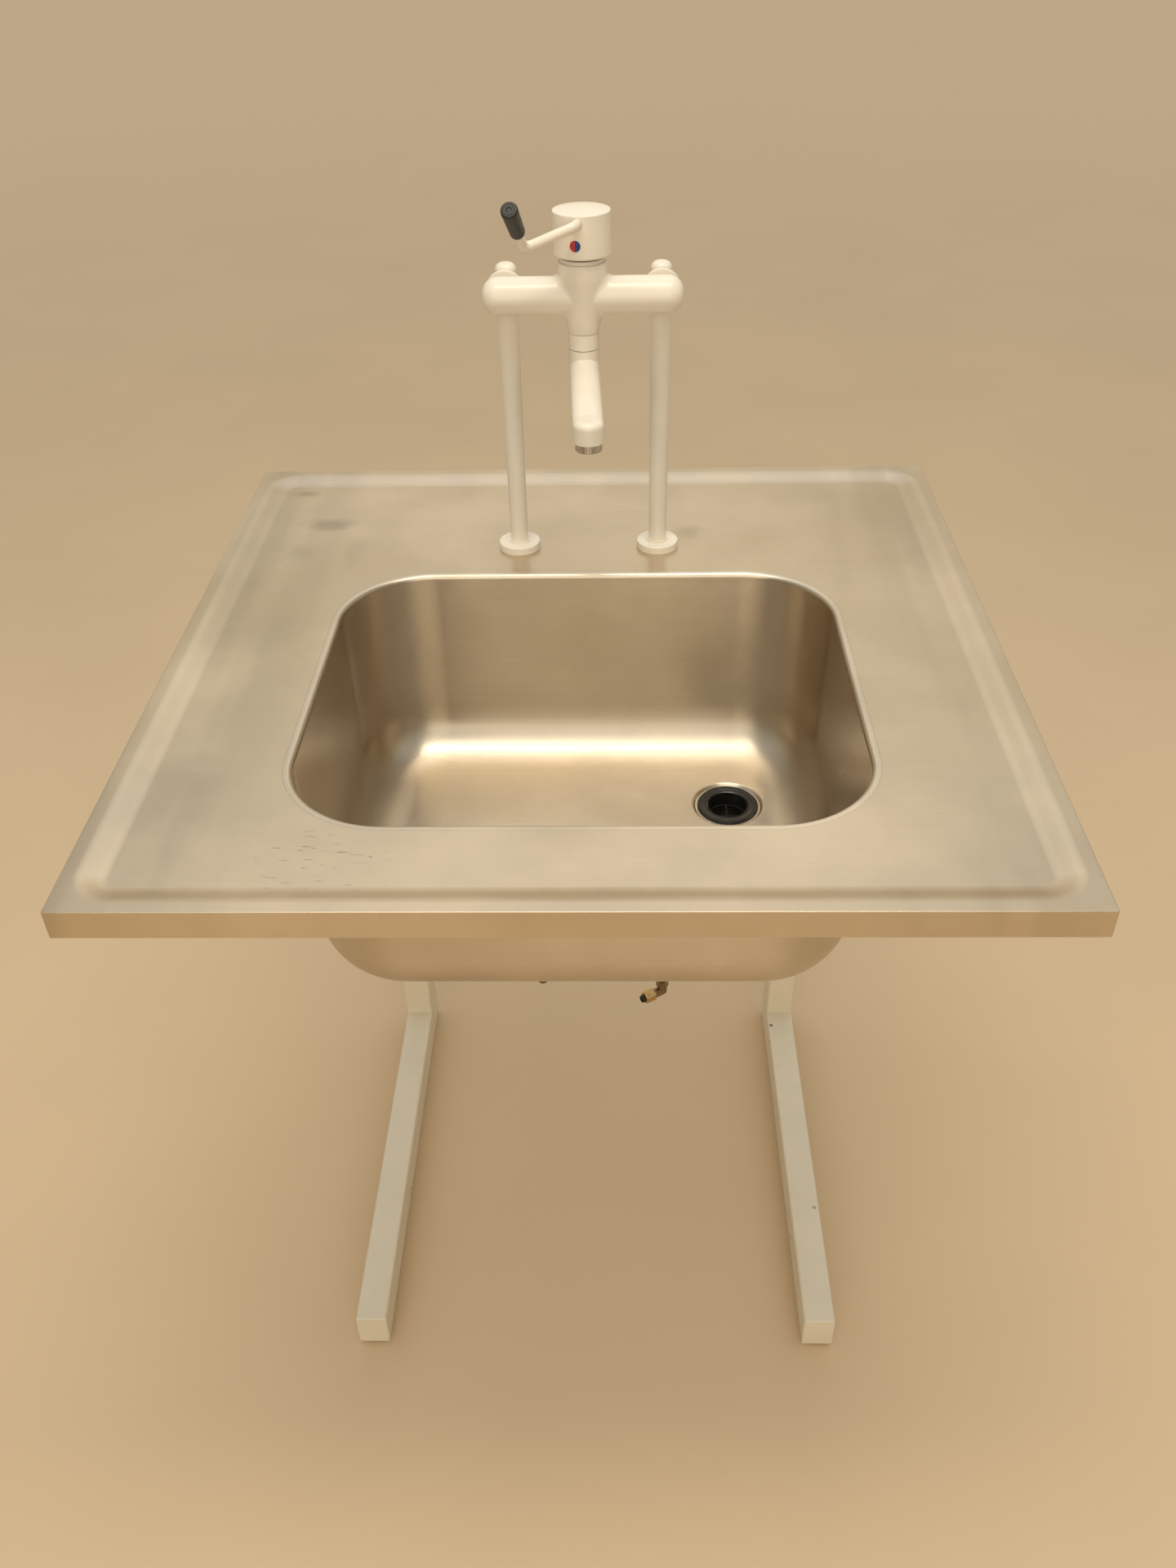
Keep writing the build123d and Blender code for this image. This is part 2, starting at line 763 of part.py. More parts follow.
def lever_cap():
    # Turned cup with a slightly domed top, a hub for the spindle and seats for the rod and the mark
    foot_point = (0, 0, cap_bottom_rise)
    side_line = Polyline(foot_point, (cap_radius, 0, cap_bottom_rise), (cap_radius, 0, cap_top_rise))
    crown = (0, 0, cap_top_rise + cap_dome)
    dome_radius = (cap_radius ** 2 + cap_dome ** 2) / (2 * cap_dome)
    middle = cap_top_rise + cap_dome - dome_radius + math.sqrt(dome_radius ** 2 - (cap_radius / 2) ** 2)
    dome = ThreePointArc(side_line @ 1, (cap_radius / 2, 0, middle), crown)
    axis_line = Line(crown, foot_point)
    outer = revolve(make_face([*side_line.edges(), dome, axis_line]), Axis.Z, 360)
    rims = [e for e in circles(outer) if abs(e.radius - cap_radius) < pick]
    outer = fillet(rims[-1], cap_upper_edge)
    outer = fillet(circles(outer)[0], cap_lower_edge)
    hollow = disc(cap_radius - cap_wall, cap_top_rise - cap_wall - cap_bottom_rise, z=cap_bottom_rise)
    hollow = fillet(hollow.edges().sort_by(Axis.Z)[-1], cap_inner_edge)
    cup = outer - hollow
    cup += disc(hub_radius, cap_top_rise - cap_wall / 2 - hub_bottom_rise, z=hub_bottom_rise)
    cup -= disc(stem_radius + hub_fit, stem_top_rise + hub_top_gap - hub_bottom_rise, z=hub_bottom_rise)
    rod_seat = along_y(disc(rod_radius + hub_fit, rod_seat_length() + cut_over))
    cup -= Pos(rod_bend_one[0], rod_bend_one[1] - cut_over, rod_bend_one[2]) * rod_seat
    mark_seat = along_y(disc(mark_radius + mark_fit, cut_over + mark_depth + mark_seat_gap))
    cup -= Pos(0, -cap_radius - cut_over, mark_rise) * mark_seat
    cup -= Pos(0, -cap_radius, mark_rise) * along_y(disc(grub_radius + hub_fit, cap_radius - stem_radius))
    return turn_about_mixer(cup, lever_rest_turn)


def rod_seat_length():
    # Length of the rod's straight root, from its first bend to its end inside the cap
    return -rod_bend_one[1] - cap_radius + rod_root_depth


def rod_path_points():
    start = (rod_bend_one[0], rod_bend_one[1] + rod_seat_length(), rod_bend_one[2])
    return (start, rod_bend_one, rod_bend_two, rod_end)


def lever_rod():
    # Cranked rod: out of the cap, across and down, then up into the grip
    start, one, two, end = [Vector(*p) for p in rod_path_points()]
    finish = end - (end - two).normalized() * rod_end_cover
    path = FilletPolyline(start, one, two, finish, radius=rod_bend_radius)
    section = Plane(origin=path @ 0, z_dir=path % 0) * Circle(rod_radius)
    rod = sweep(section, path=path)
    return turn_about_mixer(rod, lever_rest_turn)


def lever_grip():
    # Tapered grip bored for the rod, with a plain dimple in its end
    two, end = Vector(*rod_bend_two), Vector(*rod_end)
    direction = (end - two).normalized()
    grip = turned((
        (0, 0),
        (grip_root_radius, 0),
        (grip_end_radius, grip_length),
        (0, grip_length),
    ))
    grip = fillet(circles(grip)[-1], grip_edge)
    grip = fillet(circles(grip)[0], grip_edge / 2)
    grip -= disc(rod_radius + grip_fit, grip_length - rod_end_cover + grip_seat_gap)
    grip -= disc(grip_dimple_radius, grip_dimple_depth, z=grip_length - grip_dimple_depth)
    place = Plane(origin=end - direction * grip_length, z_dir=direction)
    return turn_about_mixer(place.location * grip, lever_rest_turn)


def temperature_mark(side):
    # Half of the round plug that shows which way is hot and which is cold
    plug = disc(mark_radius, mark_depth + mark_proud)
    plug = fillet(plug.edges().sort_by(Axis.Z)[-1], mark_edge)
    beyond = 4 * mark_radius
    half = plug & block(mark_radius, beyond, beyond, side * mark_radius / 2, 0, -beyond / 2)
    front = Pos(0, -cap_radius + mark_depth, mark_rise) * Rot(90, 0, 0) * half
    return turn_about_mixer(front, lever_rest_turn)


def cap_grub_screw():
    # Socket screw behind the mark, which clamps the hub on the spindle
    screw = disc(grub_radius, grub_length) - extrude(RegularPolygon(grub_socket_radius, 6), grub_socket_depth)
    screw = Pos(0, -(stem_radius + grub_tip_gap + grub_length), mark_rise) * along_y(screw)
    return turn_about_mixer(screw, lever_rest_turn)


def spout_collar():
    ring = disc(collar_radius, body_bottom_rise - collar_gap - collar_bottom_rise, z=collar_bottom_rise)
    ring = fillet(ring.edges(), collar_edge)
    ring -= disc(neck_radius + neck_fit, body_bottom_rise - collar_bottom_rise, z=collar_bottom_rise)
    return Pos(0, mixer_y, recess_level) * ring


def spout_section(width, height, y, z, tilt):
    return Pos(0, y, z) * Rot(90 + tilt, 0, 0) * Ellipse(width / 2, height / 2)


def spout():
    # Neck, rounded elbow, flattened falling tube and upright head, drawn straight ahead
    head_y = -spout_reach
    neck_bottom = spout_elbow_rise
    neck_top = collar_bottom_rise - collar_gap
    stem = disc(spout_radius, neck_top - neck_bottom, z=neck_bottom)
    stem += Pos(0, 0, neck_bottom) * Sphere(spout_radius)
    end_centre = spout_head_top_rise - spout_tube_end_height / 2
    near = spout_section(2 * spout_radius, 2 * spout_radius - spout_flattening, 0, neck_bottom, spout_top_slope)
    far = spout_section(2 * (spout_head_radius - spout_side_step), spout_tube_end_height, head_y, end_centre, 0)
    head_height = spout_head_top_rise + spout_head_crown - spout_head_bottom_rise
    head = disc(spout_head_radius, head_height, 0, head_y, spout_head_bottom_rise)
    head = fillet(circles(head)[-1], spout_head_edge)
    cast = stem + loft([near, far]) + head
    neck = disc(neck_radius, neck_top_rise - neck_top + cut_over, z=neck_top - cut_over)
    for rise in neck_groove_rises:
        groove = disc(neck_radius + cut_over, neck_groove_height) - disc(neck_groove_radius, neck_groove_height)
        neck -= Pos(0, 0, rise) * groove
    cast += neck
    bore = disc(spout_bore_radius, neck_top_rise - neck_bottom, z=neck_bottom)
    bore += Pos(0, 0, neck_bottom) * Sphere(spout_bore_radius)
    inner_near = spout_section(2 * spout_bore_radius, 2 * spout_bore_radius, 0, neck_bottom, spout_top_slope)
    inner_height = spout_tube_end_height - 2 * spout_tube_end_wall
    inner_far = spout_section(2 * spout_bore_radius, inner_height, head_y, end_centre, 0)
    bore += loft([inner_near, inner_far])
    bore += disc(aerator_bore_radius, spout_well_depth + cut_over, 0, head_y, spout_head_bottom_rise - cut_over)
    cast -= bore
    seat_radius = aerator_radius - aerator_neck_step + aerator_fit
    cast -= disc(seat_radius, aerator_inset + aerator_fit, 0, head_y, spout_head_bottom_rise)
    return turn_about_mixer(cast, spout_rest_turn)


def spout_neck_rings():
    # Two rubber rings in the grooves of the spout's neck
    height = neck_groove_height - 2 * neck_ring_side_gap
    ring = disc(neck_radius - neck_fit, height) - disc(neck_groove_radius + neck_ring_fit, height)
    rises = [rise + neck_ring_side_gap for rise in neck_groove_rises]
    return Compound([turn_about_mixer(Pos(0, 0, rise) * ring, spout_rest_turn) for rise in rises])


def aerator_housing():
    # Fluted ring that screws up into the spout's head
    head_y = -spout_reach
    bottom = spout_head_bottom_rise - aerator_height
    ring = disc(aerator_radius, aerator_height - aerator_gap)
    ring = chamfer(ring.edges(), aerator_edge)
    flute = disc(aerator_flute_radius, aerator_height, aerator_radius)
    ring -= [Rot(0, 0, 360 / aerator_flutes * k) * flute for k in range(aerator_flutes)]
    ring += disc(aerator_radius - aerator_neck_step, aerator_height + aerator_inset)
    ring -= disc(aerator_bore_radius, aerator_height + aerator_inset)
    return turn_about_mixer(Pos(0, head_y, bottom) * ring, spout_rest_turn)


def aerator_insert():
    # Flow straightener: a disc with a grid of square passages
    radius = aerator_bore_radius - aerator_fit
    pitch = 2 * radius / insert_cells
    passage = block(pitch - insert_rib, pitch - insert_rib, insert_height)
    steps = range(-(insert_cells // 2), insert_cells // 2 + 1)
    cells = [(i * pitch, j * pitch) for i in steps for j in steps]
    cells = [(x, y) for x, y in cells if math.hypot(x, y) + pitch / math.sqrt(2) < radius]
    grid = disc(radius, insert_height) - [Pos(x, y, 0) * passage for x, y in cells]
    bottom = spout_head_bottom_rise - aerator_height + insert_recess
    return turn_about_mixer(Pos(0, -spout_reach, bottom) * grid, spout_rest_turn)


def supply_tail(side):
    # Thin copper tube from inside the pillar's shank down to its fitting
    x = side * pillar_spacing / 2
    top = pillar_foot_level - pillar_shank_length + tail_overlap
    if side > 0:
        low = Vector(x + tail_splay, pillar_y, elbow_height + elbow_spigot + 2 * nut_seat_gap)
        path = FilletPolyline(
            Vector(x, pillar_y, top), Vector(x, pillar_y, tail_bend_start), low, radius=tail_bend_radius
        )
    else:
        path = Line((x, pillar_y, top), (x, pillar_y, coupling_height + coupling_length + nut_seat_gap))
    section = Plane(origin=path @ 0, z_dir=path % 0) * Circle(tail_radius)
    hollow = Plane(origin=path @ 0, z_dir=path % 0) * Circle(tail_bore_radius)
    return sweep(section, path=path) - sweep(hollow, path=path)


def elbow_place():
    return Pos(pillar_spacing / 2 + tail_splay, pillar_y, elbow_height)


def outlet_turn():
    # The outlet points to the left and a little towards the user
    return Rot(0, 0, 180 + elbow_turn) * Rot(0, 90, 0)


def supply_elbow():
    # Brass elbow: a ball corner with an upright and a level spigot, bored through
    body = Sphere(elbow_body_radius) + disc(elbow_body_radius, elbow_spigot)
    body += outlet_turn() * disc(elbow_body_radius, elbow_branch)
    bore = disc(tail_bore_radius, elbow_spigot) + Sphere(tail_bore_radius)
    bore += outlet_turn() * disc(tail_bore_radius, elbow_branch)
    return elbow_place() * (body - bore)


def compression_nut(bore, length):
    return hexagon(nut_flats, length, nut_chamfer) - disc(bore, length)


def elbow_tail_nut():
    place = elbow_place() * Pos(0, 0, elbow_spigot + nut_seat_gap)
    return place * compression_nut(tail_radius + 3 * tail_fit, nut_length)


def elbow_outlet_nut():
    place = elbow_place() * outlet_turn() * Pos(0, 0, elbow_branch + nut_seat_gap)
    return place * compression_nut(tail_radius + tail_fit, outlet_nut_length)


def elbow_olive():
    # Short stub left in the open outlet, with its olive proud of the nut
    olive = chamfer(disc(tail_radius + olive_height, olive_length).edges(), olive_height / 2)
    stub_length = outlet_nut_length - stub_seat + stub_proud
    stub = disc(tail_radius, stub_length) + Pos(0, 0, outlet_nut_length - stub_seat + nut_seat_gap) * olive
    stub -= disc(tail_bore_radius, stub_length)
    return elbow_place() * outlet_turn() * Pos(0, 0, elbow_branch + nut_seat_gap + stub_seat) * stub


def tail_coupling():
    # Straight compression coupling on the left tail
    sleeve = disc(elbow_body_radius, coupling_length) - disc(tail_bore_radius, coupling_length)
    nut = Pos(0, 0, coupling_length) * compression_nut(tail_radius + tail_fit, nut_length)
    return Pos(-pillar_spacing / 2, pillar_y, coupling_height) * (sleeve + nut)


def tube(length, size_x, size_z):
    # Rectangular tube along Y with rounded corners, starting at the origin
    outer = Rot(-90, 0, 0) * extrude(RectangleRounded(size_x, size_z, tube_corner), length)
    inner_size = (size_x - 2 * tube_wall, size_z - 2 * tube_wall)
    inner = Rot(-90, 0, 0) * extrude(RectangleRounded(*inner_size, tube_inner_corner), length)
    return outer - inner


def foot(side):
    length = post_back_y - foot_front_y
    centre_z = glide_height + tube_depth / 2
    bar = Pos(side * leg_centre_x, foot_front_y, centre_z) * tube(length, tube_width, tube_depth)
    for y in glide_places():
        hole_bottom = glide_height - tube_wall / 2
        bar -= disc(glide_stem_radius + glide_fit, tube_wall * 2, side * leg_centre_x, y, hole_bottom)
    return bar


def glide_places():
    return (foot_front_y + glide_inset, post_back_y - glide_inset)


def post(side):
    length = arm_tube_bottom - foot_top
    upright = Rot(90, 0, 0) * tube(length, tube_width, tube_depth)
    return Pos(side * leg_centre_x, post_front_y + tube_depth / 2, foot_top) * upright


def top_arm(side):
    length = post_back_y - top_arm_front_y
    centre_z = arm_tube_bottom + tube_depth / 2
    return Pos(side * leg_centre_x, top_arm_front_y, centre_z) * tube(length, tube_width, tube_depth)


def end_cap():
    # Push-in cap: a plate the size of the tube with a hollow plug behind it, facing the user
    plate = Rot(90, 0, 0) * extrude(RectangleRounded(tube_width, tube_depth, tube_corner), cap_plate)
    plate = chamfer(plate.faces().sort_by(Axis.Y)[0].edges(), cap_plate_edge)
    plug_x = tube_width - 2 * (tube_wall + cap_plug_fit)
    plug_z = tube_depth - 2 * (tube_wall + cap_plug_fit)
    plug = Rot(-90, 0, 0) * extrude(RectangleRounded(plug_x, plug_z, cap_plug_corner), cap_plug_depth)
    core_outline = Rectangle(plug_x - 2 * cap_plug_wall, plug_z - 2 * cap_plug_wall)
    core = Rot(-90, 0, 0) * extrude(core_outline, cap_plug_depth)
    return plate + (plug - core)


def foot_end_caps():
    caps = []
    centre_z = glide_height + tube_depth / 2
    for side in sides:
        caps.append(Pos(side * leg_centre_x, foot_front_y, centre_z) * end_cap())
        caps.append(Pos(side * leg_centre_x, post_back_y, centre_z) * Rot(0, 0, 180) * end_cap())
    return Compound(caps)


def top_arm_end_caps():
    caps = []
    centre_z = arm_tube_bottom + tube_depth / 2
    for side in sides:
        caps.append(Pos(side * leg_centre_x, top_arm_front_y, centre_z) * end_cap())
        caps.append(Pos(side * leg_centre_x, post_back_y, centre_z) * Rot(0, 0, 180) * end_cap())
    return Compound(caps)


def foot_glides():
    glide = turned((
        (0, 0),
        (glide_radius - glide_edge, 0),
        (glide_radius, glide_edge),
        (glide_radius - glide_edge / 2, glide_height),
        (glide_stem_radius, glide_height),
        (glide_stem_radius, glide_height + glide_stem_height),
        (0, glide_height + glide_stem_height),
    ))
    places = [(side * leg_centre_x, y) for side in sides for y in glide_places()]
    return Compound([Pos(x, y, 0) * glide for x, y in places])


def cross_rail():
    length = 2 * leg_centre_x - tube_width
    bar = Rot(0, 0, -90) * tube(length, rail_depth, rail_height)
    y = post_front_y + tube_depth / 2
    return Pos(-length / 2, y, rail_bottom + rail_height / 2) * bar


def tab_screw_places():
    x = leg_centre_x + tube_width / 2 + tab_width / 2 + tab_screw_offset
    return [(side * x, y) for side in sides for y in tab_positions]


def fixing_tabs():
    # Welded tabs beside the top arms, through which the board is screwed down
    tabs = []
    for side in sides:
        for y in tab_positions:
            x = side * (leg_centre_x + tube_width / 2 + tab_width / 2)
            tab = block(tab_width, tab_length, tab_thickness, x, y, board_bottom - tab_thickness)
            upright = tab.edges().filter_by(Axis.Z)
            outer = [e for e in upright if abs(e.center().X) > abs(x)]
            tabs.append(fillet(outer, tab_corner))
    plates = Compound(tabs)
    for x, y in tab_screw_places():
        plates -= disc(tab_screw_radius + tab_screw_fit, tab_thickness, x, y, board_bottom - tab_thickness)
    return plates


def board_screws():
    # Pan-head screws that hold the board to the tabs
    head_top = board_bottom - tab_thickness
    screw = disc(tab_screw_radius, tab_thickness + tab_screw_depth, z=head_top)
    head = disc(tab_screw_head_radius, tab_screw_head_height, z=head_top - tab_screw_head_height)
    head = chamfer(head.edges().sort_by(Axis.Z)[0], tab_screw_head_edge)
    drive = extrude(RegularPolygon(tab_screw_drive_radius, 6), tab_screw_drive_depth)
    head -= Pos(0, 0, head_top - tab_screw_head_height) * drive
    return Compound([Pos(x, y, 0) * (screw + head) for x, y in tab_screw_places()])


parts = {
    "worktop": worktop(),
    "bowl": bowl(),
    "backing_board": backing_board(),
    "waste_fitting": waste_fitting(),
    "waste_strainer": waste_strainer(),
    "waste_seal": waste_seal(),
    "waste_back_nut": waste_back_nut(),
    "pillar_washers": pillar_washers(),
    "pillar_lock_nuts": pillar_lock_nuts(),
    "mixer_body": mixer_body(),
    "inlet_washers": inlet_washers(),
    "cartridge": cartridge(),
    "cartridge_ring": cartridge_ring(),
    "cartridge_carrier": cartridge_carrier(),
    "lever_spindle": lever_spindle(),
    "lever_cap": lever_cap(),
    "lever_rod": lever_rod(),
    "lever_grip": lever_grip(),
    "hot_mark": temperature_mark(-1),
    "cold_mark": temperature_mark(1),
    "cap_grub_screw": cap_grub_screw(),
    "spout_collar": spout_collar(),
    "spout": spout(),
    "spout_neck_rings": spout_neck_rings(),
    "aerator_housing": aerator_housing(),
    "aerator_insert": aerator_insert(),
    "supply_elbow": supply_elbow(),
    "elbow_tail_nut": elbow_tail_nut(),
    "elbow_outlet_nut": elbow_outlet_nut(),
    "elbow_olive": elbow_olive(),
    "tail_coupling": tail_coupling(),
    "foot_end_caps": foot_end_caps(),
    "top_arm_end_caps": top_arm_end_caps(),
    "foot_glides": foot_glides(),
    "cross_rail": cross_rail(),
    "fixing_tabs": fixing_tabs(),
    "board_screws": board_screws(),
}
for side, word in ((-1, "left"), (1, "right")):
    pillar_x = side * pillar_spacing / 2
    parts[f"{word}_pillar"] = pillar(pillar_x)
    parts[f"{word}_rosette"] = rosette(pillar_x)
    parts[f"{word}_inlet_nut"] = inlet_nut(pillar_x)
    parts[f"{word}_supply_tail"] = supply_tail(side)
    parts[f"{word}_foot"] = foot(side)
    parts[f"{word}_post"] = post(side)
    parts[f"{word}_top_arm"] = top_arm(side)

os.makedirs("parts", exist_ok=True)
for name, shape in parts.items():
    export_step(shape, f"parts/{name}.step")
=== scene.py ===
import json
import math

import bmesh
import bpy
from mathutils import Matrix, Vector


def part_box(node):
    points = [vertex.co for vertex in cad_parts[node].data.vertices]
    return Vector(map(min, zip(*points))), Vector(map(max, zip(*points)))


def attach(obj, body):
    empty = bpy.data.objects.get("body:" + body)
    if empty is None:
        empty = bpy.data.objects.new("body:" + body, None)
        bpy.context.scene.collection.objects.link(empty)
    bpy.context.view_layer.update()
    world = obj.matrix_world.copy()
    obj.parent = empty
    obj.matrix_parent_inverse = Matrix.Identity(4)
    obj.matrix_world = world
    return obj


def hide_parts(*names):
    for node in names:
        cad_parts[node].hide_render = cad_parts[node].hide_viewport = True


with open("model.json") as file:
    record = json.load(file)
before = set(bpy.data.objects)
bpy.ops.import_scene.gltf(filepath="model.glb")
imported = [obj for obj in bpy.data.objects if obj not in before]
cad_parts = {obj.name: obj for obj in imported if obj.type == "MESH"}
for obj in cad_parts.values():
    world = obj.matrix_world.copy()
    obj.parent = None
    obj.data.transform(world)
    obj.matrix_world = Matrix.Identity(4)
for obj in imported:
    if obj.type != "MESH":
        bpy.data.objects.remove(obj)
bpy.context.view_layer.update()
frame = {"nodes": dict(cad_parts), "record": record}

bl_info = {
    "name": "Laboratory sink",
    "version": (1, 0, 0),
    "blender": (4, 5, 0),
    "location": "3D Viewport > Sidebar > Sink",
    "description": "Dresses a stainless laboratory sink, its mixer and its leg frames",
    "category": "Object",
}

MM = 0.001
BODY_OF = {node: body for body, nodes in frame["record"]["behaviour"]["bodies"].items() for node in nodes}

# Mixer and lever. Points, grip length and seam heights are in millimetres from the mixer's foot,
# with the lever drawn straight ahead.
MIXER_FOOT = (0, 166 * MM, 894 * MM)
LEVER_TURN = math.radians(-12.0)
ROD_POINTS = ((2.1, -21.4, 355.0), (2.1, -37.0, 355.0), (-42.1, -50.8, 337.9), (-39.2, -102.6, 383.7))
ROD_RADIUS = 4.6 * MM
ROD_BEND = 8.5 * MM
ROD_END_IN_GRIP = 8 * MM
GRIP_LENGTH = 40.0
# Heights of the thin black rings that paint the shadow in the seams above and below the spout's collar
SEAM_SHADOW_RINGS = (("lower_seam_shadow", 233.83), ("upper_seam_shadow", 249.83))

# Camera fitted to the photograph: focal length in pixels, and pitch, yaw and roll in degrees
FOCAL_PIXELS, PHOTO_HEIGHT = 1617.41, 1920
CAMERA_PLACE = (0.03329, -1.12411, 1.5631)
CAMERA_ANGLES = (36.932, -1.708, -1.239)
FLOOR_RADIUS = 9.0

# Worktop
PILLAR_X, PILLAR_Y = 76 * MM, 206 * MM
PILLAR_HOLE = 10 * MM
OUTER_CORNER, RIM_CORNER, RECESS_CORNER = 0.9 * MM, 32 * MM, 16 * MM
RIM_ROUNDING = 4.6 * MM
FOLD_ROUNDING = 0.6 * MM
RETURN_FLANGE = 12 * MM
MOUTH_GAP = 0.15 * MM

# Bowl and the seat of its waste
BOWL_LOW, BOWL_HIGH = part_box("bowl")
WASTE_LOW, WASTE_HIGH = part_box("waste_fitting")
WASTE_PLACE = ((WASTE_LOW[0] + WASTE_HIGH[0]) / 2, (WASTE_LOW[1] + WASTE_HIGH[1]) / 2)
WASTE_SEAT_DEPTH = 3 * MM
WASTE_SEAT = 35.5 * MM
WASTE_SEAT_EDGE = WASTE_SEAT + 4.2 * MM
WASTE_HOLE = 24.2 * MM
BOWL_SHEET = 1.2 * MM
BOWL_DEPTH = BOWL_HIGH[2] - BOWL_LOW[2] - BOWL_SHEET - WASTE_SEAT_DEPTH


class SinkSizes(bpy.types.PropertyGroup):
    """Lengths of the sheet-metal pieces and of the small turned pieces"""

    top_width: bpy.props.FloatProperty(
        name="Worktop width", description="Width and depth of the square worktop", default=0.8, unit="LENGTH")
    top_height: bpy.props.FloatProperty(
        name="Worktop height", description="Height of the rim above the floor", default=0.9, unit="LENGTH")
    edge_height: bpy.props.FloatProperty(
        name="Edge height", description="Depth of the turned-down edge", default=0.026, unit="LENGTH")
    sheet: bpy.props.FloatProperty(
        name="Sheet", description="Thickness of the worktop's sheet", default=0.0015, unit="LENGTH")
    rim_flat: bpy.props.FloatProperty(
        name="Rim flat", description="Width of the raised flat rim", default=0.015, unit="LENGTH")
    rim_slope: bpy.props.FloatProperty(
        name="Rim slope", description="Width of the slope inside the rim", default=0.016, unit="LENGTH")
    rim_drop: bpy.props.FloatProperty(
        name="Rim drop", description="Depth of the recessed surface below the rim", default=0.006, unit="LENGTH")
    bowl_width: bpy.props.FloatProperty(
        name="Bowl width", description="Clear width of the bowl at its mouth", default=0.5, unit="LENGTH")
    bowl_length: bpy.props.FloatProperty(
        name="Bowl length", description="Clear length of the bowl, front to back", default=0.425, unit="LENGTH")
    bowl_centre_y: bpy.props.FloatProperty(
        name="Bowl centre", description="Place of the bowl's middle, front to back", default=-0.075, unit="LENGTH")
    bowl_depth: bpy.props.FloatProperty(
        name="Bowl depth", description="Depth of the bowl below the worktop", default=BOWL_DEPTH, unit="LENGTH")
    bowl_corner: bpy.props.FloatProperty(
        name="Bowl corner", description="Radius of the bowl's upright corners", default=0.09, unit="LENGTH")
    bowl_floor_radius: bpy.props.FloatProperty(
        name="Bowl floor radius", description="Radius between the walls and the floor", default=0.055, unit="LENGTH")
    bowl_draft: bpy.props.FloatProperty(
        name="Bowl draft", description="Lean of the bowl's walls", default=math.radians(1.0), subtype="ANGLE")
    lip_radius: bpy.props.FloatProperty(
        name="Lip radius", description="Radius where the bowl meets the worktop", default=0.005, unit="LENGTH")
    lip_flat: bpy.props.FloatProperty(
        name="Lip flat", description="Flat width of the bowl's flange outside its lip", default=0.003, unit="LENGTH")
    bowl_sheet: bpy.props.FloatProperty(
        name="Bowl sheet", description="Thickness of the bowl's sheet", default=0.0012, unit="LENGTH")


class SinkFinishes(bpy.types.PropertyGroup):
    """Colours of the finishes"""

    steel: bpy.props.FloatVectorProperty(
        name="Worktop steel", description="Brushed stainless steel", default=(0.65, 0.545, 0.405), size=3,
        subtype="COLOR")
    bowl_steel: bpy.props.FloatVectorProperty(
        name="Bowl steel", description="Brushed stainless steel of the bowl", default=(0.635, 0.55, 0.43), size=3,
        subtype="COLOR")
    white_coat: bpy.props.FloatVectorProperty(
        name="White coat", description="Epoxy coat on the mixer", default=(0.86, 0.79, 0.67), size=3, subtype="COLOR")
    grey_coat: bpy.props.FloatVectorProperty(
        name="Grey coat", description="Powder coat on the legs", default=(0.79, 0.71, 0.55), size=3, subtype="COLOR")
    black: bpy.props.FloatVectorProperty(
        name="Black plastic", description="Grip, waste and seals", default=(0.018, 0.017, 0.016), size=3,
        subtype="COLOR")
    brass: bpy.props.FloatVectorProperty(
        name="Brass", description="Compression fittings", default=(0.78, 0.54, 0.22), size=3, subtype="COLOR")
    floor: bpy.props.FloatVectorProperty(
        name="Floor", description="Plain pale floor", default=(0.71, 0.54, 0.345), size=3, subtype="COLOR")


# Shader building

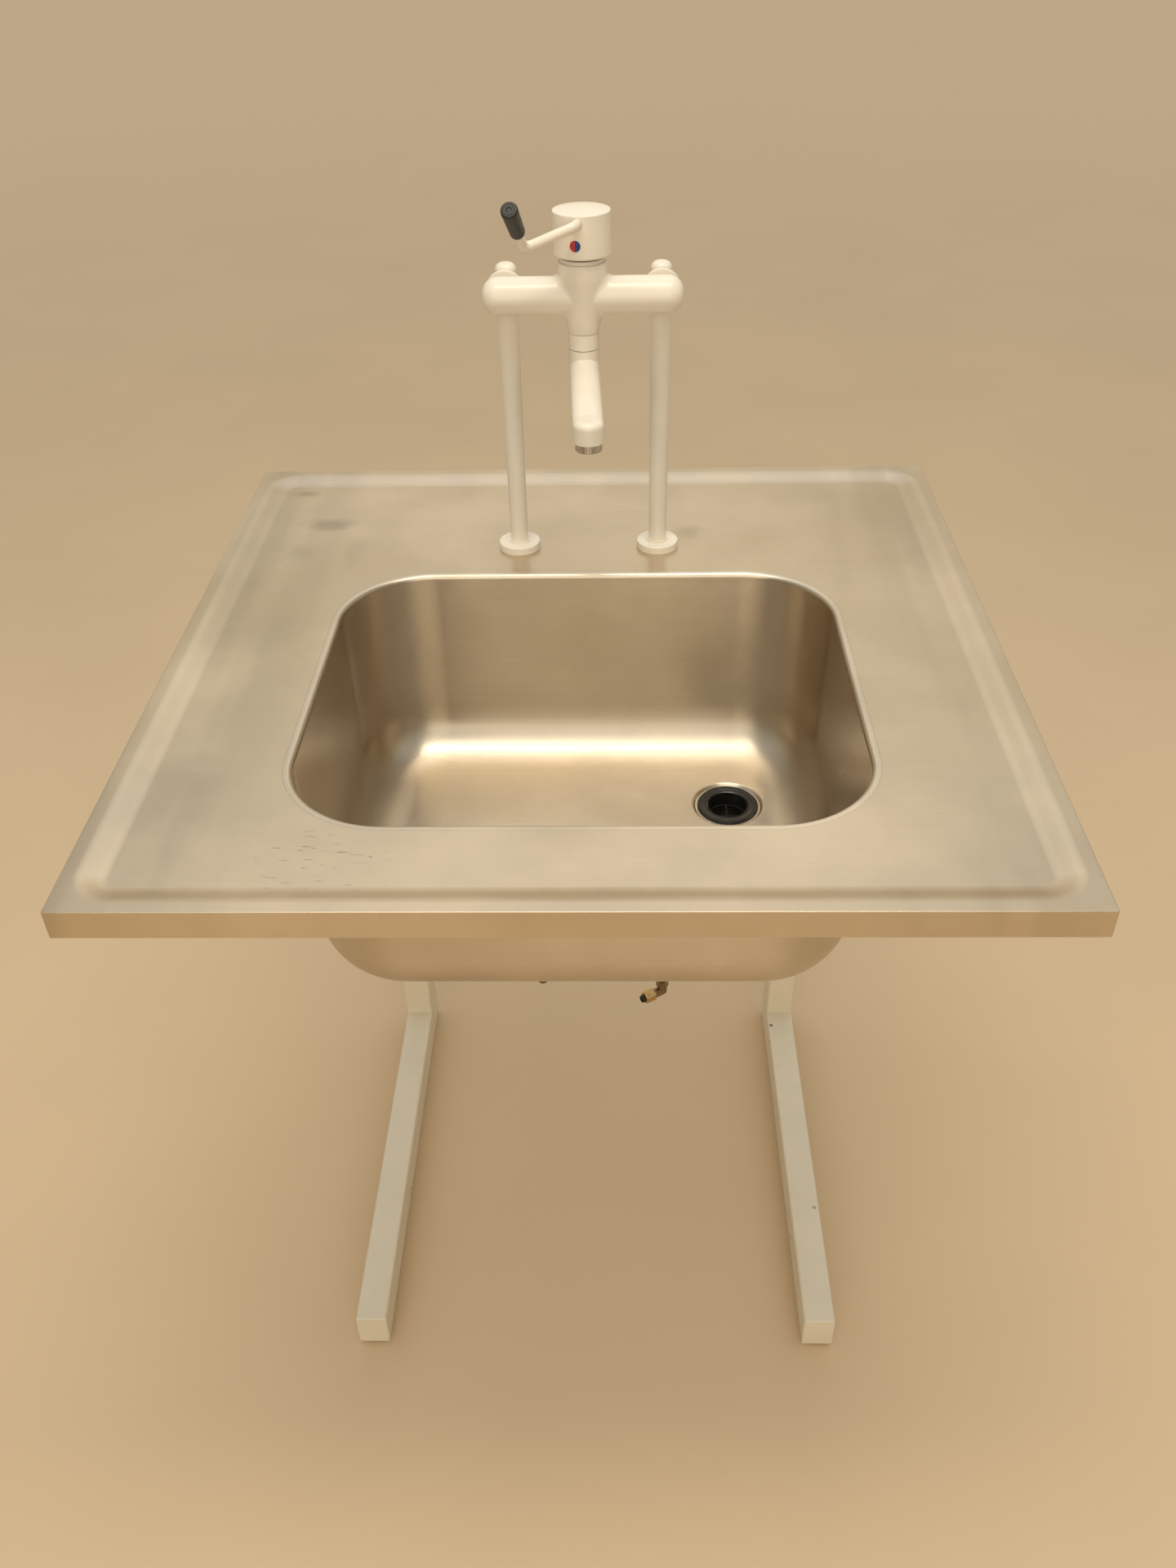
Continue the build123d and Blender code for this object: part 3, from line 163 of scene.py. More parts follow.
class Finish:
    """One material under construction, with short words for its nodes"""

    def __init__(self, name, **values):
        self.material = bpy.data.materials.new(name)
        self.material.use_nodes = True
        self.tree = self.material.node_tree
        self.shader = self.tree.nodes["Principled BSDF"]
        for socket, value in values.items():
            self.shader.inputs[socket.replace("_", " ")].default_value = value
        self.place = self.add("ShaderNodeTexCoord").outputs["Object"]

    def add(self, kind, **settings):
        node = self.tree.nodes.new(kind)
        for key, value in settings.items():
            setattr(node, key, value)
        return node

    def join(self, source, target):
        self.tree.links.new(source, target)

    def mapped(self, scale=(1, 1, 1), turn=(0, 0, 0), shift=(0, 0, 0)):
        node = self.add("ShaderNodeMapping")
        node.inputs["Scale"].default_value = scale
        node.inputs["Rotation"].default_value = turn
        node.inputs["Location"].default_value = shift
        self.join(self.place, node.inputs["Vector"])
        return node.outputs["Vector"]

    def noise(self, vector, scale, detail=4.0, rough=0.5):
        node = self.add("ShaderNodeTexNoise")
        node.inputs["Scale"].default_value = scale
        node.inputs["Detail"].default_value = detail
        node.inputs["Roughness"].default_value = rough
        self.join(vector, node.inputs["Vector"])
        return node.outputs["Fac"]

    def cells(self, vector, scale, feature="F1"):
        node = self.add("ShaderNodeTexVoronoi", feature=feature)
        node.inputs["Scale"].default_value = scale
        self.join(vector, node.inputs["Vector"])
        return node

    def ramp(self, source, low, high, start=0.0, end=1.0):
        node = self.add("ShaderNodeMapRange", interpolation_type="SMOOTHSTEP")
        node.inputs["From Min"].default_value = low
        node.inputs["From Max"].default_value = high
        node.inputs["To Min"].default_value = start
        node.inputs["To Max"].default_value = end
        self.join(source, node.inputs["Value"])
        return node.outputs["Result"]

    def maths(self, operation, first, second):
        node = self.add("ShaderNodeMath", operation=operation)
        for socket, value in zip(node.inputs, (first, second)):
            if isinstance(value, (int, float)):
                socket.default_value = value
            else:
                self.join(value, socket)
        return node.outputs["Value"]

    def blend(self, factor, first, second):
        node = self.add("ShaderNodeMix", data_type="RGBA")
        self.join(factor, node.inputs["Factor"])
        for socket, value in ((node.inputs[6], first), (node.inputs[7], second)):
            if isinstance(value, (tuple, list)) or hasattr(value, "r"):
                socket.default_value = (*tuple(value)[:3], 1.0)
            else:
                self.join(value, socket)
        return node.outputs[2]

    def spot(self, centre, size, soft=0.0):
        """Soft round patch about a point, broken up by noise"""
        shifted = self.mapped(
            scale=tuple(1 / s for s in size), shift=tuple(-c / s for c, s in zip(centre, size)))
        length = self.add("ShaderNodeVectorMath", operation="LENGTH")
        self.join(shifted, length.inputs[0])
        tear = self.ramp(self.noise(self.place, 22, 3), 0.3, 0.7, -0.22, 0.22)
        torn = self.maths("ADD", length.outputs["Value"], tear)
        return self.ramp(torn, soft, 1.0, 1.0, 0.0)

    def total(self, values):
        result = values[0]
        for value in values[1:]:
            result = self.maths("MAXIMUM", result, value)
        return result

    def bump(self, height, strength, distance, below=None):
        node = self.add("ShaderNodeBump")
        node.inputs["Strength"].default_value = strength
        node.inputs["Distance"].default_value = distance
        self.join(height, node.inputs["Height"])
        if below is not None:
            self.join(below, node.inputs["Normal"])
        self.join(node.outputs["Normal"], self.shader.inputs["Normal"])
        return node.outputs["Normal"]

    def colour(self, source):
        self.join(source, self.shader.inputs["Base Color"])

    def roughness(self, source):
        self.join(source, self.shader.inputs["Roughness"])

    def along_grain(self, grain):
        """Turns the brushing along the surface by a tangent built from its normal and a fixed direction"""
        cross = self.add("ShaderNodeVectorMath", operation="CROSS_PRODUCT")
        self.join(self.add("ShaderNodeNewGeometry").outputs["Normal"], cross.inputs[0])
        cross.inputs[1].default_value = grain
        self.join(cross.outputs["Vector"], self.shader.inputs["Tangent"])


def tinted(colour, factor):
    return tuple(min(1.0, c * factor) for c in tuple(colour)[:3])


def brushed_sheet(
        name, colour, rough, grain_scale, stains=(), grain=(1.0, 0.12, 0.0), stretch=0.55, dents=0.22):
    """Brushed stainless sheet: fine grain lines, dull patches, stains and stray scratches; with stains given, also
    painted reflection as darker bands towards the sides
    """
    f = Finish(name, Metallic=1.0, Anisotropic=stretch)
    lines = f.noise(f.mapped(scale=grain_scale), 1.0, 6, 0.62)
    cloud = f.noise(f.mapped(scale=(1, 1, 1)), 5.5, 6, 0.58)
    broad = f.noise(f.mapped(scale=(0.9, 1.7, 1.2), shift=(3.1, 1.7, 0.4)), 2.6, 3, 0.5)
    scratch_a = f.noise(f.mapped(scale=(14, 1700, 900), turn=(0, 0, 0.32)), 1.0, 1, 0.4)
    scratch_b = f.noise(f.mapped(scale=(1500, 17, 900), turn=(0, 0, 0.55)), 1.0, 1, 0.4)
    scratches = f.maths("ADD", f.ramp(scratch_a, 0.78, 0.82), f.ramp(scratch_b, 0.80, 0.84))
    base = f.blend(f.ramp(cloud, 0.35, 0.7), tinted(colour, 0.93), tinted(colour, 1.06))
    base = f.blend(f.ramp(lines, 0.42, 0.75, 0.0, 0.35), base, tinted(colour, 0.80))
    rough_value = f.ramp(cloud, 0.3, 0.75, rough - 0.035, rough + 0.05)
    rough_value = f.maths("ADD", rough_value, f.ramp(broad, 0.35, 0.65, -0.03, 0.04))
    rough_value = f.maths("ADD", rough_value, f.ramp(lines, 0.3, 0.7, -0.04, 0.05))
    rough_value = f.maths("ADD", rough_value, f.maths("MULTIPLY", scratches, 0.08))
    if stains:
        patch = f.total([f.maths("MULTIPLY", f.spot(*stain[:3]), stain[3]) for stain in stains])
        base = f.blend(f.maths("MULTIPLY", patch, 0.6), base, tinted(colour, 0.40))
        rough_value = f.maths("ADD", rough_value, f.maths("MULTIPLY", patch, 0.06))
        spread = f.add("ShaderNodeSeparateXYZ")
        f.join(f.place, spread.inputs[0])
        # Painted reflection: soft diagonal darker bands towards both sides of the worktop stand in for the room's
        # reflections in the steel; they are not stains
        side_reflection_mask = f.ramp(f.maths("ABSOLUTE", spread.outputs["X"], 0.0), 0.20, 0.37)
        painted_reflection_bands = f.ramp(f.noise(f.mapped(scale=(13, 1.4, 1), turn=(0, 0, -0.10)), 1.0, 3, 0.5), 0.42, 0.62)
        base = f.blend(f.maths("MULTIPLY", f.maths("MULTIPLY", painted_reflection_bands, side_reflection_mask), 0.34), base, tinted(colour, 0.50))
        scuffs = f.noise(f.mapped(scale=(60, 420, 60), turn=(0, 0, 1.1), shift=(0.3, 0.1, 0)), 1.0, 2, 0.5)
        scuff_zone = f.spot((-0.205, -0.322, 0.894), (0.085, 0.060, 0.05), 0.1)
        scuff = f.maths("MULTIPLY", f.ramp(scuffs, 0.66, 0.70), scuff_zone)
        base = f.blend(f.maths("MULTIPLY", scuff, 0.7), base, tinted(colour, 0.35))
    f.colour(base)
    f.roughness(rough_value)
    wave = f.bump(broad, dents, 0.004)
    f.bump(f.maths("ADD", lines, f.maths("MULTIPLY", scratches, -0.6)), 0.16, 0.00012, wave)
    f.along_grain(grain)
    return f.material


def coated(name, colour, rough, peel_scale, peel, chips=0.0, coat=0.0, grime=0.25):
    """Sprayed coat: orange peel, faint yellowing and dirt, and small chips to the dark metal"""
    f = Finish(name, Coat_Weight=coat, Coat_Roughness=0.05, Specular_IOR_Level=0.5)
    cloud = f.noise(f.mapped(scale=(1, 1, 1)), 14, 5, 0.6)
    dirt = f.noise(f.mapped(scale=(1, 1, 0.6), shift=(0.7, 0.2, 0.1)), 38, 7, 0.68)
    base = f.blend(f.ramp(cloud, 0.3, 0.7), tinted(colour, 0.97), tinted(colour, 1.03))
    base = f.blend(f.ramp(dirt, 0.58, 0.85, 0.0, grime), base, tinted(colour, 0.62))
    rough_value = f.ramp(cloud, 0.3, 0.7, rough - 0.03, rough + 0.05)
    skin = f.noise(f.mapped(), peel_scale, 3, 0.5)
    if chips:
        flakes = f.cells(f.mapped(), 46)
        gate = f.ramp(f.noise(f.mapped(shift=(5, 2, 1)), 9, 3), 0.60, 0.66)
        chip = f.maths("MULTIPLY", f.ramp(flakes.outputs["Distance"], 0.16, 0.10), gate)
        chip = f.maths("MULTIPLY", chip, chips)
        base = f.blend(chip, base, (0.16, 0.13, 0.10))
        skin = f.maths("SUBTRACT", skin, f.maths("MULTIPLY", chip, 1.5))
        rough_value = f.maths("ADD", rough_value, f.maths("MULTIPLY", chip, 0.3))
    f.colour(base)
    f.roughness(rough_value)
    f.bump(skin, peel, 0.0004)
    return f.material


def moulded(name, colour, rough, grain_scale=900, grain=0.25, worn=0.2):
    """Moulded plastic or rubber: fine matt grain, handling marks and dust in the low places"""
    f = Finish(name, Specular_IOR_Level=0.45)
    grainy = f.noise(f.mapped(), grain_scale, 3, 0.6)
    marks = f.noise(f.mapped(scale=(1, 1, 0.35)), 70, 6, 0.65)
    base = f.blend(f.ramp(marks, 0.45, 0.8, 0.0, worn), colour, tinted((0.4, 0.37, 0.33), 0.5))
    f.colour(f.blend(f.ramp(grainy, 0.4, 0.7, 0.0, 0.15), base, tinted(colour, 1.6)))
    f.roughness(f.ramp(marks, 0.3, 0.75, rough - 0.06, rough + 0.12))
    f.bump(grainy, grain, 0.0002)
    return f.material


def turned_metal(name, colour, rough, rings=1.0, tarnish=0.4, tarnish_colour=(0.12, 0.07, 0.03)):
    """Turned or plated metal: tool rings, tarnish and handling marks"""
    f = Finish(name, Metallic=1.0, Anisotropic=0.3)
    cloud = f.noise(f.mapped(), 120, 6, 0.65)
    tool = f.noise(f.mapped(scale=(500 * rings, 500 * rings, 2600 * rings)), 1.0, 4, 0.6)
    base = f.blend(f.ramp(cloud, 0.46, 0.78, 0.0, tarnish), colour, tarnish_colour)
    f.colour(f.blend(f.ramp(tool, 0.35, 0.75, 0.0, 0.3), base, tinted(colour, 0.72)))
    f.roughness(f.ramp(cloud, 0.3, 0.75, rough - 0.05, rough + 0.18))
    f.bump(tool, 0.2, 0.00015)
    return f.material


def chipboard(name, colour):
    """Raw board: pressed flakes with dark gaps, and a coarse edge"""
    f = Finish(name, Roughness=0.85)
    flakes = f.cells(f.mapped(scale=(1, 1.4, 2.2)), 260)
    gaps = f.cells(f.mapped(scale=(1, 1.4, 2.2)), 260, "DISTANCE_TO_EDGE")
    base = f.blend(flakes.outputs["Color"], tinted(colour, 0.72), tinted(colour, 1.25))
    f.colour(f.blend(f.ramp(gaps.outputs["Distance"], 0.0, 0.08, 0.6, 0.0), base, tinted(colour, 0.35)))
    f.bump(gaps.outputs["Distance"], 0.4, 0.0006)
    return f.material


def make_finishes():
    """All finishes by name"""
    tones = bpy.context.scene.sink_finishes
    stains = (
        ((-0.338, 0.347, 0.894), (0.024, 0.010, 0.05), 0.0, 0.75),
        ((-0.299, 0.262, 0.894), (0.036, 0.026, 0.05), 0.35, 0.85),
        ((-0.322, 0.196, 0.894), (0.024, 0.040, 0.05), 0.0, 0.35),
        ((-0.262, 0.190, 0.894), (0.018, 0.060, 0.05), 0.0, 0.30),
        ((0.114, 0.240, 0.894), (0.022, 0.022, 0.05), 0.0, 0.45),
        ((-0.330, 0.020, 0.894), (0.050, 0.110, 0.05), 0.0, 0.22),
        ((-0.345, -0.230, 0.894), (0.045, 0.120, 0.05), 0.0, 0.30),
    )
    return {
        "worktop steel": brushed_sheet("worktop_steel", tones.steel, 0.33, (9, 1500, 1500), stains),
        "bowl steel": brushed_sheet(
            "bowl_steel", tones.bowl_steel, 0.35, (5, 900, 1100), grain=(1.0, 0.0, 0.12), stretch=0.72,
            dents=0.09),
        "white coat": coated("white_coat", tones.white_coat, 0.42, 330, 0.06, coat=0.30, grime=0.04),
        "grey coat": coated("grey_coat", tones.grey_coat, 0.42, 480, 0.22, chips=0.9, grime=0.30),
        "black plastic": moulded("black_plastic", tones.black, 0.42, 1300, 0.35, 0.16),
        "waste plastic": moulded("waste_plastic", tones.black, 0.30, 500, 0.12, 0.06),
        # Near-black with no sheen: painted shade, used for the shadow rings in the spout's seams and for the waste's
        # strainer
        "painted shade black": moulded("painted_shade_black", (0.004, 0.004, 0.004), 0.8, 500, 0.1, 0.0),
        "rubber": moulded("rubber", (0.022, 0.021, 0.020), 0.62, 800, 0.3, 0.3),
        "grey plastic": moulded("grey_plastic", (0.42, 0.41, 0.38), 0.45, 900, 0.2, 0.2),
        "red plastic": moulded("red_plastic", (0.50, 0.03, 0.025), 0.28, 900, 0.08, 0.05),
        "blue plastic": moulded("blue_plastic", (0.02, 0.05, 0.22), 0.28, 900, 0.08, 0.05),
        "brass": turned_metal("brass", tones.brass, 0.24, 1.0, 0.55),
        "dark brass": turned_metal("dark_brass", (0.30, 0.22, 0.12), 0.34, 1.0, 0.7),
        "copper": turned_metal("copper", (0.74, 0.42, 0.27), 0.30, 0.4, 0.55, (0.10, 0.05, 0.04)),
        "chrome": turned_metal("chrome", (0.66, 0.63, 0.58), 0.16, 1.4, 0.25, (0.20, 0.18, 0.15)),
        "zinc": turned_metal("zinc", (0.58, 0.56, 0.52), 0.34, 0.8, 0.35, (0.30, 0.28, 0.24)),
        "board": chipboard("chipboard", (0.52, 0.39, 0.25)),
    }


FINISHES = {}


# Mesh helpers

def finished(bm, name, finish, body, replaced=(), angle=35.0, doubles=None):
    """Turns a bmesh into a piece of the sink, smooth but for edges sharper than the angle"""
    if doubles:
        bmesh.ops.remove_doubles(bm, verts=bm.verts, dist=doubles)
    limit = math.radians(angle)
    for face in bm.faces:
        face.smooth = True
    for edge in bm.edges:
        edge.smooth = len(edge.link_faces) == 2 and edge.calc_face_angle(0.0) < limit
    mesh = bpy.data.meshes.new(name)
    bm.to_mesh(mesh)
    bm.free()
    piece = bpy.data.objects.new(name, mesh)
    bpy.context.scene.collection.objects.link(piece)
    mesh.materials.append(FINISHES[finish])
    weigh = piece.modifiers.new("Weighted normals", "WEIGHTED_NORMAL")
    weigh.keep_sharp = True
    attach(piece, body)
    if replaced:
        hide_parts(*replaced)
    return piece


def smooth_copy(node, finish, angle=35.0):
    """A merged, smoothly shaded copy of a CAD node that stands for it"""
    bm = bmesh.new()
    bm.from_mesh(frame["nodes"][node].data)
    for layer in list(bm.loops.layers.uv):
        bm.loops.layers.uv.remove(layer)
    return finished(bm, node + "_skin", finish, BODY_OF[node], (node,), angle, 2e-6)


def dress(node, finish):
    """Gives a CAD node its finish and leaves its mesh as it is"""
    piece = frame["nodes"][node]
    if piece.material_slots:
        piece.material_slots[0].material = FINISHES[finish]
    else:
        piece.data.materials.append(FINISHES[finish])


def rounded_plate(bm, size_x, size_y, corner, centre, z, segments):
    """A flat rounded rectangle, cut from a block with bevelled upright edges"""
    before = set(bm.faces)
    verts = bmesh.ops.create_cube(bm, size=1.0)["verts"]
    bmesh.ops.scale(bm, vec=(size_x, size_y, 0.02), verts=verts)
    upright = {e for v in verts for e in v.link_edges if abs(e.verts[0].co.z - e.verts[1].co.z) > 0.01}
    bmesh.ops.bevel(
        bm, geom=list(upright), offset=corner, offset_type="OFFSET", segments=segments, profile=0.5,
        affect="EDGES", material=-1)
    mine = [f for f in bm.faces if f not in before]
    top = max(mine, key=lambda f: f.calc_center_median().z)
    bmesh.ops.delete(bm, geom=[f for f in mine if f is not top], context="FACES")
    bmesh.ops.translate(bm, vec=(centre[0], centre[1], z - top.calc_center_median().z), verts=top.verts)
    return top


def hole_ring(bm, radius, x, y, z, segments):
    """A circle of edges for a round hole"""
    made = bmesh.ops.create_circle(bm, cap_ends=False, radius=radius, segments=segments)
    bmesh.ops.translate(bm, vec=(x, y, z), verts=made["verts"])
    return list({e for v in made["verts"] for e in v.link_edges})


def extruded_ring(bm, edges, move=(0, 0, 0)):
    """Extrudes a closed run of edges and returns the new run"""
    made = bmesh.ops.extrude_edge_only(bm, edges=edges)["geom"]
    verts = [g for g in made if isinstance(g, bmesh.types.BMVert)]
    new_edges = [g for g in made if isinstance(g, bmesh.types.BMEdge)]
    new_edges = [e for e in new_edges if all(v in verts for v in e.verts)]
    bmesh.ops.translate(bm, vec=move, verts=verts)
    return new_edges, verts


def scaled_about(bm, verts, factors, centre):
    space = Matrix.Translation(-Vector(centre))
    bmesh.ops.scale(bm, vec=factors, space=space, verts=verts)


def spun(profile, centre, axis=(0, 0, 1), segments=64, ring=False):
    """A full turn of a profile of radius and height pairs, joined end to end for a ring"""
    bm = bmesh.new()
    verts = [bm.verts.new((r, 0, z)) for r, z in profile]
    for a, b in zip(verts, verts[1:] + verts[:1] if ring else verts[1:]):
        bm.edges.new((a, b))
    bmesh.ops.spin(
        bm, geom=bm.verts[:] + bm.edges[:], cent=(0, 0, 0), axis=(0, 0, 1), angle=math.tau,
        steps=segments, use_merge=True)
    bmesh.ops.remove_doubles(bm, verts=bm.verts, dist=1e-6)
    bmesh.ops.recalc_face_normals(bm, faces=bm.faces)
    turn = Vector((0, 0, 1)).rotation_difference(Vector(axis)).to_matrix().to_4x4()
    bmesh.ops.transform(bm, matrix=Matrix.Translation(centre) @ turn, verts=bm.verts)
    return bm


def rounded_route(points, bend, steps=10):
    """Centre line of a bent rod: straight runs joined by arcs"""
    route = [points[0]]
    for before, corner, after in zip(points, points[1:], points[2:]):
        back, ahead = (before - corner).normalized(), (after - corner).normalized()
        half = back.angle(ahead) / 2
        reach = bend / math.tan(half)
        middle = corner + (back + ahead).normalized() * bend / math.sin(half)
        start, stop = corner + back * reach - middle, corner + ahead * reach - middle
        route += [middle + start.slerp(stop, k / steps).normalized() * bend for k in range(steps + 1)]
    return route + [points[-1]]


def tube_on(route, radius):
    """A round rod that follows a centre line, as a bmesh"""
    data = bpy.data.curves.new("route", "CURVE")
    data.dimensions = "3D"
    data.bevel_depth = radius
    data.bevel_resolution = 8
    data.use_fill_caps = True
    spline = data.splines.new("POLY")
    spline.points.add(len(route) - 1)
    for point, place in zip(spline.points, route):
        point.co = (*place, 1)
    holder = bpy.data.objects.new("route", data)
    mesh = bpy.data.meshes.new_from_object(holder)
    bm = bmesh.new()
    bm.from_mesh(mesh)
    bmesh.ops.remove_doubles(bm, verts=bm.verts, dist=1e-6)
    bmesh.ops.recalc_face_normals(bm, faces=bm.faces)
    bpy.data.objects.remove(holder)
    bpy.data.curves.remove(data)
    bpy.data.meshes.remove(mesh)
    return bm


def on_lever(point):
    """Place of a point of the lever, given in millimetres as drawn straight ahead"""
    return Matrix.Translation(MIXER_FOOT) @ Matrix.Rotation(LEVER_TURN, 4, "Z") @ (Vector(point) * MM)


# Pieces

class SINK_OT_worktop(bpy.types.Operator):
    """Pressed worktop with its rim, slope, turned-down edge and openings"""

    bl_idname = "sink.worktop"
    bl_label = "Worktop"

    def execute(self, context):
        s = context.scene.sink_sizes
        level = s.top_height - s.rim_drop
        grow = s.lip_radius + s.lip_flat + MOUTH_GAP
        bm = bmesh.new()
        outer = rounded_plate(bm, s.top_width, s.top_width, OUTER_CORNER, (0, 0), s.top_height, 3)
        upper_size = s.top_width - 2 * s.rim_flat
        upper = rounded_plate(bm, upper_size, upper_size, RIM_CORNER, (0, 0), s.top_height, 12)
        lower_size = upper_size - 2 * s.rim_slope
        lower = rounded_plate(bm, lower_size, lower_size, RECESS_CORNER, (0, 0), level, 12)
        mouth = rounded_plate(
            bm, s.bowl_width + 2 * grow, s.bowl_length + 2 * grow, s.bowl_corner + grow,
            (0, s.bowl_centre_y), level, 20)
        rings = [list(face.edges) for face in (outer, upper, lower, mouth)]
        bmesh.ops.delete(bm, geom=[outer, upper, lower, mouth], context="FACES_ONLY")
        holes = []
        for side in (-1, 1):
            holes += hole_ring(bm, PILLAR_HOLE, side * PILLAR_X, PILLAR_Y, level, 32)
        bmesh.ops.bridge_loops(bm, edges=rings[1] + rings[2])
        bmesh.ops.triangle_fill(bm, use_beauty=True, use_dissolve=False, edges=rings[0] + rings[1], normal=(0, 0, 1))
        bmesh.ops.triangle_fill(
            bm, use_beauty=True, use_dissolve=False, edges=rings[2] + rings[3] + holes, normal=(0, 0, 1))
        skirt, _ = extruded_ring(bm, rings[0], (0, 0, -s.edge_height))
        _, turned_in = extruded_ring(bm, skirt)
        factor = 1 - 2 * RETURN_FLANGE / s.top_width
        bmesh.ops.scale(bm, vec=(factor, factor, 1), verts=turned_in)
        bmesh.ops.recalc_face_normals(bm, faces=bm.faces)
        bmesh.ops.bevel(
            bm, geom=rings[1] + rings[2], offset=RIM_ROUNDING, offset_type="OFFSET", segments=6, profile=0.5,
            affect="EDGES", material=-1)
        fold = [e for e in bm.edges if e.is_valid and all(
            abs(v.co.z - s.top_height) < 1e-6 and max(abs(v.co.x), abs(v.co.y)) > s.top_width / 2 - 2 * MM
            for v in e.verts) and len(e.link_faces) == 2 and e.calc_face_angle(0) > 1.0]
        bmesh.ops.bevel(
            bm, geom=fold, offset=FOLD_ROUNDING, offset_type="OFFSET", segments=3, profile=0.5, affect="EDGES",
            material=-1)
        piece = finished(bm, "worktop_sheet", "worktop steel", "stand", ("worktop",), 30)
        wall = piece.modifiers.new("Sheet", "SOLIDIFY")
        wall.thickness = s.sheet
        wall.offset = -1.0
        piece.modifiers.move(1, 0)
        return {"FINISHED"}


class SINK_OT_bowl(bpy.types.Operator):
    """Drawn bowl with its lip, round corners, rolled floor edge and the seat of the waste"""

    bl_idname = "sink.bowl"
    bl_label = "Bowl"

    def execute(self, context):
        s = context.scene.sink_sizes
        level = s.top_height - s.rim_drop
        grow = s.lip_radius + s.lip_flat
        centre = (0, s.bowl_centre_y)
        segments = 24
        bm = bmesh.new()
        flange = rounded_plate(
            bm, s.bowl_width + 2 * grow, s.bowl_length + 2 * grow, s.bowl_corner + grow, centre, level, segments)
        mouth = rounded_plate(bm, s.bowl_width, s.bowl_length, s.bowl_corner, centre, level, segments)
        shrink = s.bowl_depth * math.tan(s.bowl_draft)
        low = rounded_plate(
            bm, s.bowl_width - 2 * shrink, s.bowl_length - 2 * shrink, s.bowl_corner - shrink, centre,
            level - s.bowl_depth, segments)
        flange_ring, mouth_ring, floor_ring = [list(face.edges) for face in (flange, mouth, low)]
        bmesh.ops.delete(bm, geom=[flange, mouth, low], context="FACES_ONLY")
        bmesh.ops.bridge_loops(bm, edges=flange_ring + mouth_ring)
        bmesh.ops.bridge_loops(bm, edges=mouth_ring + floor_ring)
        rim = hole_ring(bm, WASTE_SEAT_EDGE, *WASTE_PLACE, level - s.bowl_depth, 64)
        bmesh.ops.contextual_create(bm, geom=floor_ring)
        floor = max((f for f in bm.faces if len(f.verts) > 20), key=lambda f: f.calc_area())
        bmesh.ops.recalc_face_normals(bm, faces=bm.faces)
        bmesh.ops.bevel(
            bm, geom=floor_ring, offset=s.bowl_floor_radius, offset_type="OFFSET", segments=18, profile=0.5,
            affect="EDGES", material=-1)
        bmesh.ops.bevel(
            bm, geom=mouth_ring, offset=s.lip_radius, offset_type="OFFSET", segments=8, profile=0.5,
            affect="EDGES", material=-1)
        floor = min((f for f in bm.faces if len(f.verts) > 20), key=lambda f: f.calc_center_median().z)
        border = list(floor.edges)
        bmesh.ops.delete(bm, geom=[floor], context="FACES_ONLY")
        bmesh.ops.triangle_fill(bm, use_beauty=True, use_dissolve=False, edges=border + rim, normal=(0, 0, 1))
        middle = (*WASTE_PLACE, level - s.bowl_depth)
        radius = WASTE_SEAT_EDGE
        seat_steps = (
            (WASTE_SEAT + 2.4 * MM, 0.7 * MM), (WASTE_SEAT + 1.2 * MM, 2.0 * MM), (WASTE_SEAT, WASTE_SEAT_DEPTH),
            (WASTE_HOLE, WASTE_SEAT_DEPTH))
        for step_radius, drop in seat_steps:
            rim, verts = extruded_ring(bm, rim)
            factor = step_radius / radius
            scaled_about(bm, verts, (factor, factor, 1), middle)
            for vert in verts:
                vert.co.z = level - s.bowl_depth - drop
            radius = step_radius
        bmesh.ops.recalc_face_normals(bm, faces=bm.faces)
        probe = min(bm.faces, key=lambda f: f.calc_center_median().z)
        if probe.normal.z < 0:
            bmesh.ops.reverse_faces(bm, faces=bm.faces)
        piece = finished(bm, "bowl_shell", "bowl steel", "stand", ("bowl",), 30)
        wall = piece.modifiers.new("Sheet", "SOLIDIFY")
        wall.thickness = s.bowl_sheet
        wall.offset = -1.0
        piece.modifiers.move(1, 0)
        return {"FINISHED"}


class SINK_OT_waste(bpy.types.Operator):
    """Waste fitting with its strainer, seal and back nut"""

    bl_idname = "sink.waste"
    bl_label = "Waste"

    def execute(self, context):
        smooth_copy("waste_fitting", "waste plastic")
        smooth_copy("waste_back_nut", "black plastic")
        smooth_copy("waste_seal", "rubber")
        # The strainer is black plastic, darkened further to paint the shade inside the waste's hole
        smooth_copy("waste_strainer", "painted shade black")
        return {"FINISHED"}


class SINK_OT_board(bpy.types.Operator):
    """Backing board with its fixings"""

    bl_idname = "sink.board"
    bl_label = "Backing board"

    def execute(self, context):
        dress("backing_board", "board")
        smooth_copy("board_screws", "zinc")
        smooth_copy("fixing_tabs", "grey coat")
        return {"FINISHED"}


class SINK_OT_pillars(bpy.types.Operator):
    """Pillars with their cover rings, washers and lock nuts"""

    bl_idname = "sink.pillars"
    bl_label = "Pillars"

    def execute(self, context):
        for side in ("left", "right"):
            smooth_copy(side + "_pillar", "white coat")
            smooth_copy(side + "_rosette", "white coat")
            self.make_union(side)
        smooth_copy("pillar_washers", "zinc")
        smooth_copy("pillar_lock_nuts", "brass")
        return {"FINISHED"}

    def make_union(self, side):
        """Union nut that tapers from the mixer's arm to the pillar"""
        low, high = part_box(side + "_inlet_nut")
        length = (high[1] - low[1]) / MM
        outline = (
            (9.8, 0), (17.4, 0), (18.2, 0.3), (18.5, 1.0), (18.5, 4.2), (18.2, 5.2), (17.4, 6.1),
            (13.2, length - 1.2), (12.4, length - 0.4), (11.4, length), (9.8, length))
        place = ((low[0] + high[0]) / 2, low[1], (low[2] + high[2]) / 2)
        bm = spun([(r * MM, z * MM) for r, z in outline], place, (0, 1, 0), ring=True)
        finished(bm, side + "_union", "white coat", "stand", (side + "_inlet_nut",), 40)


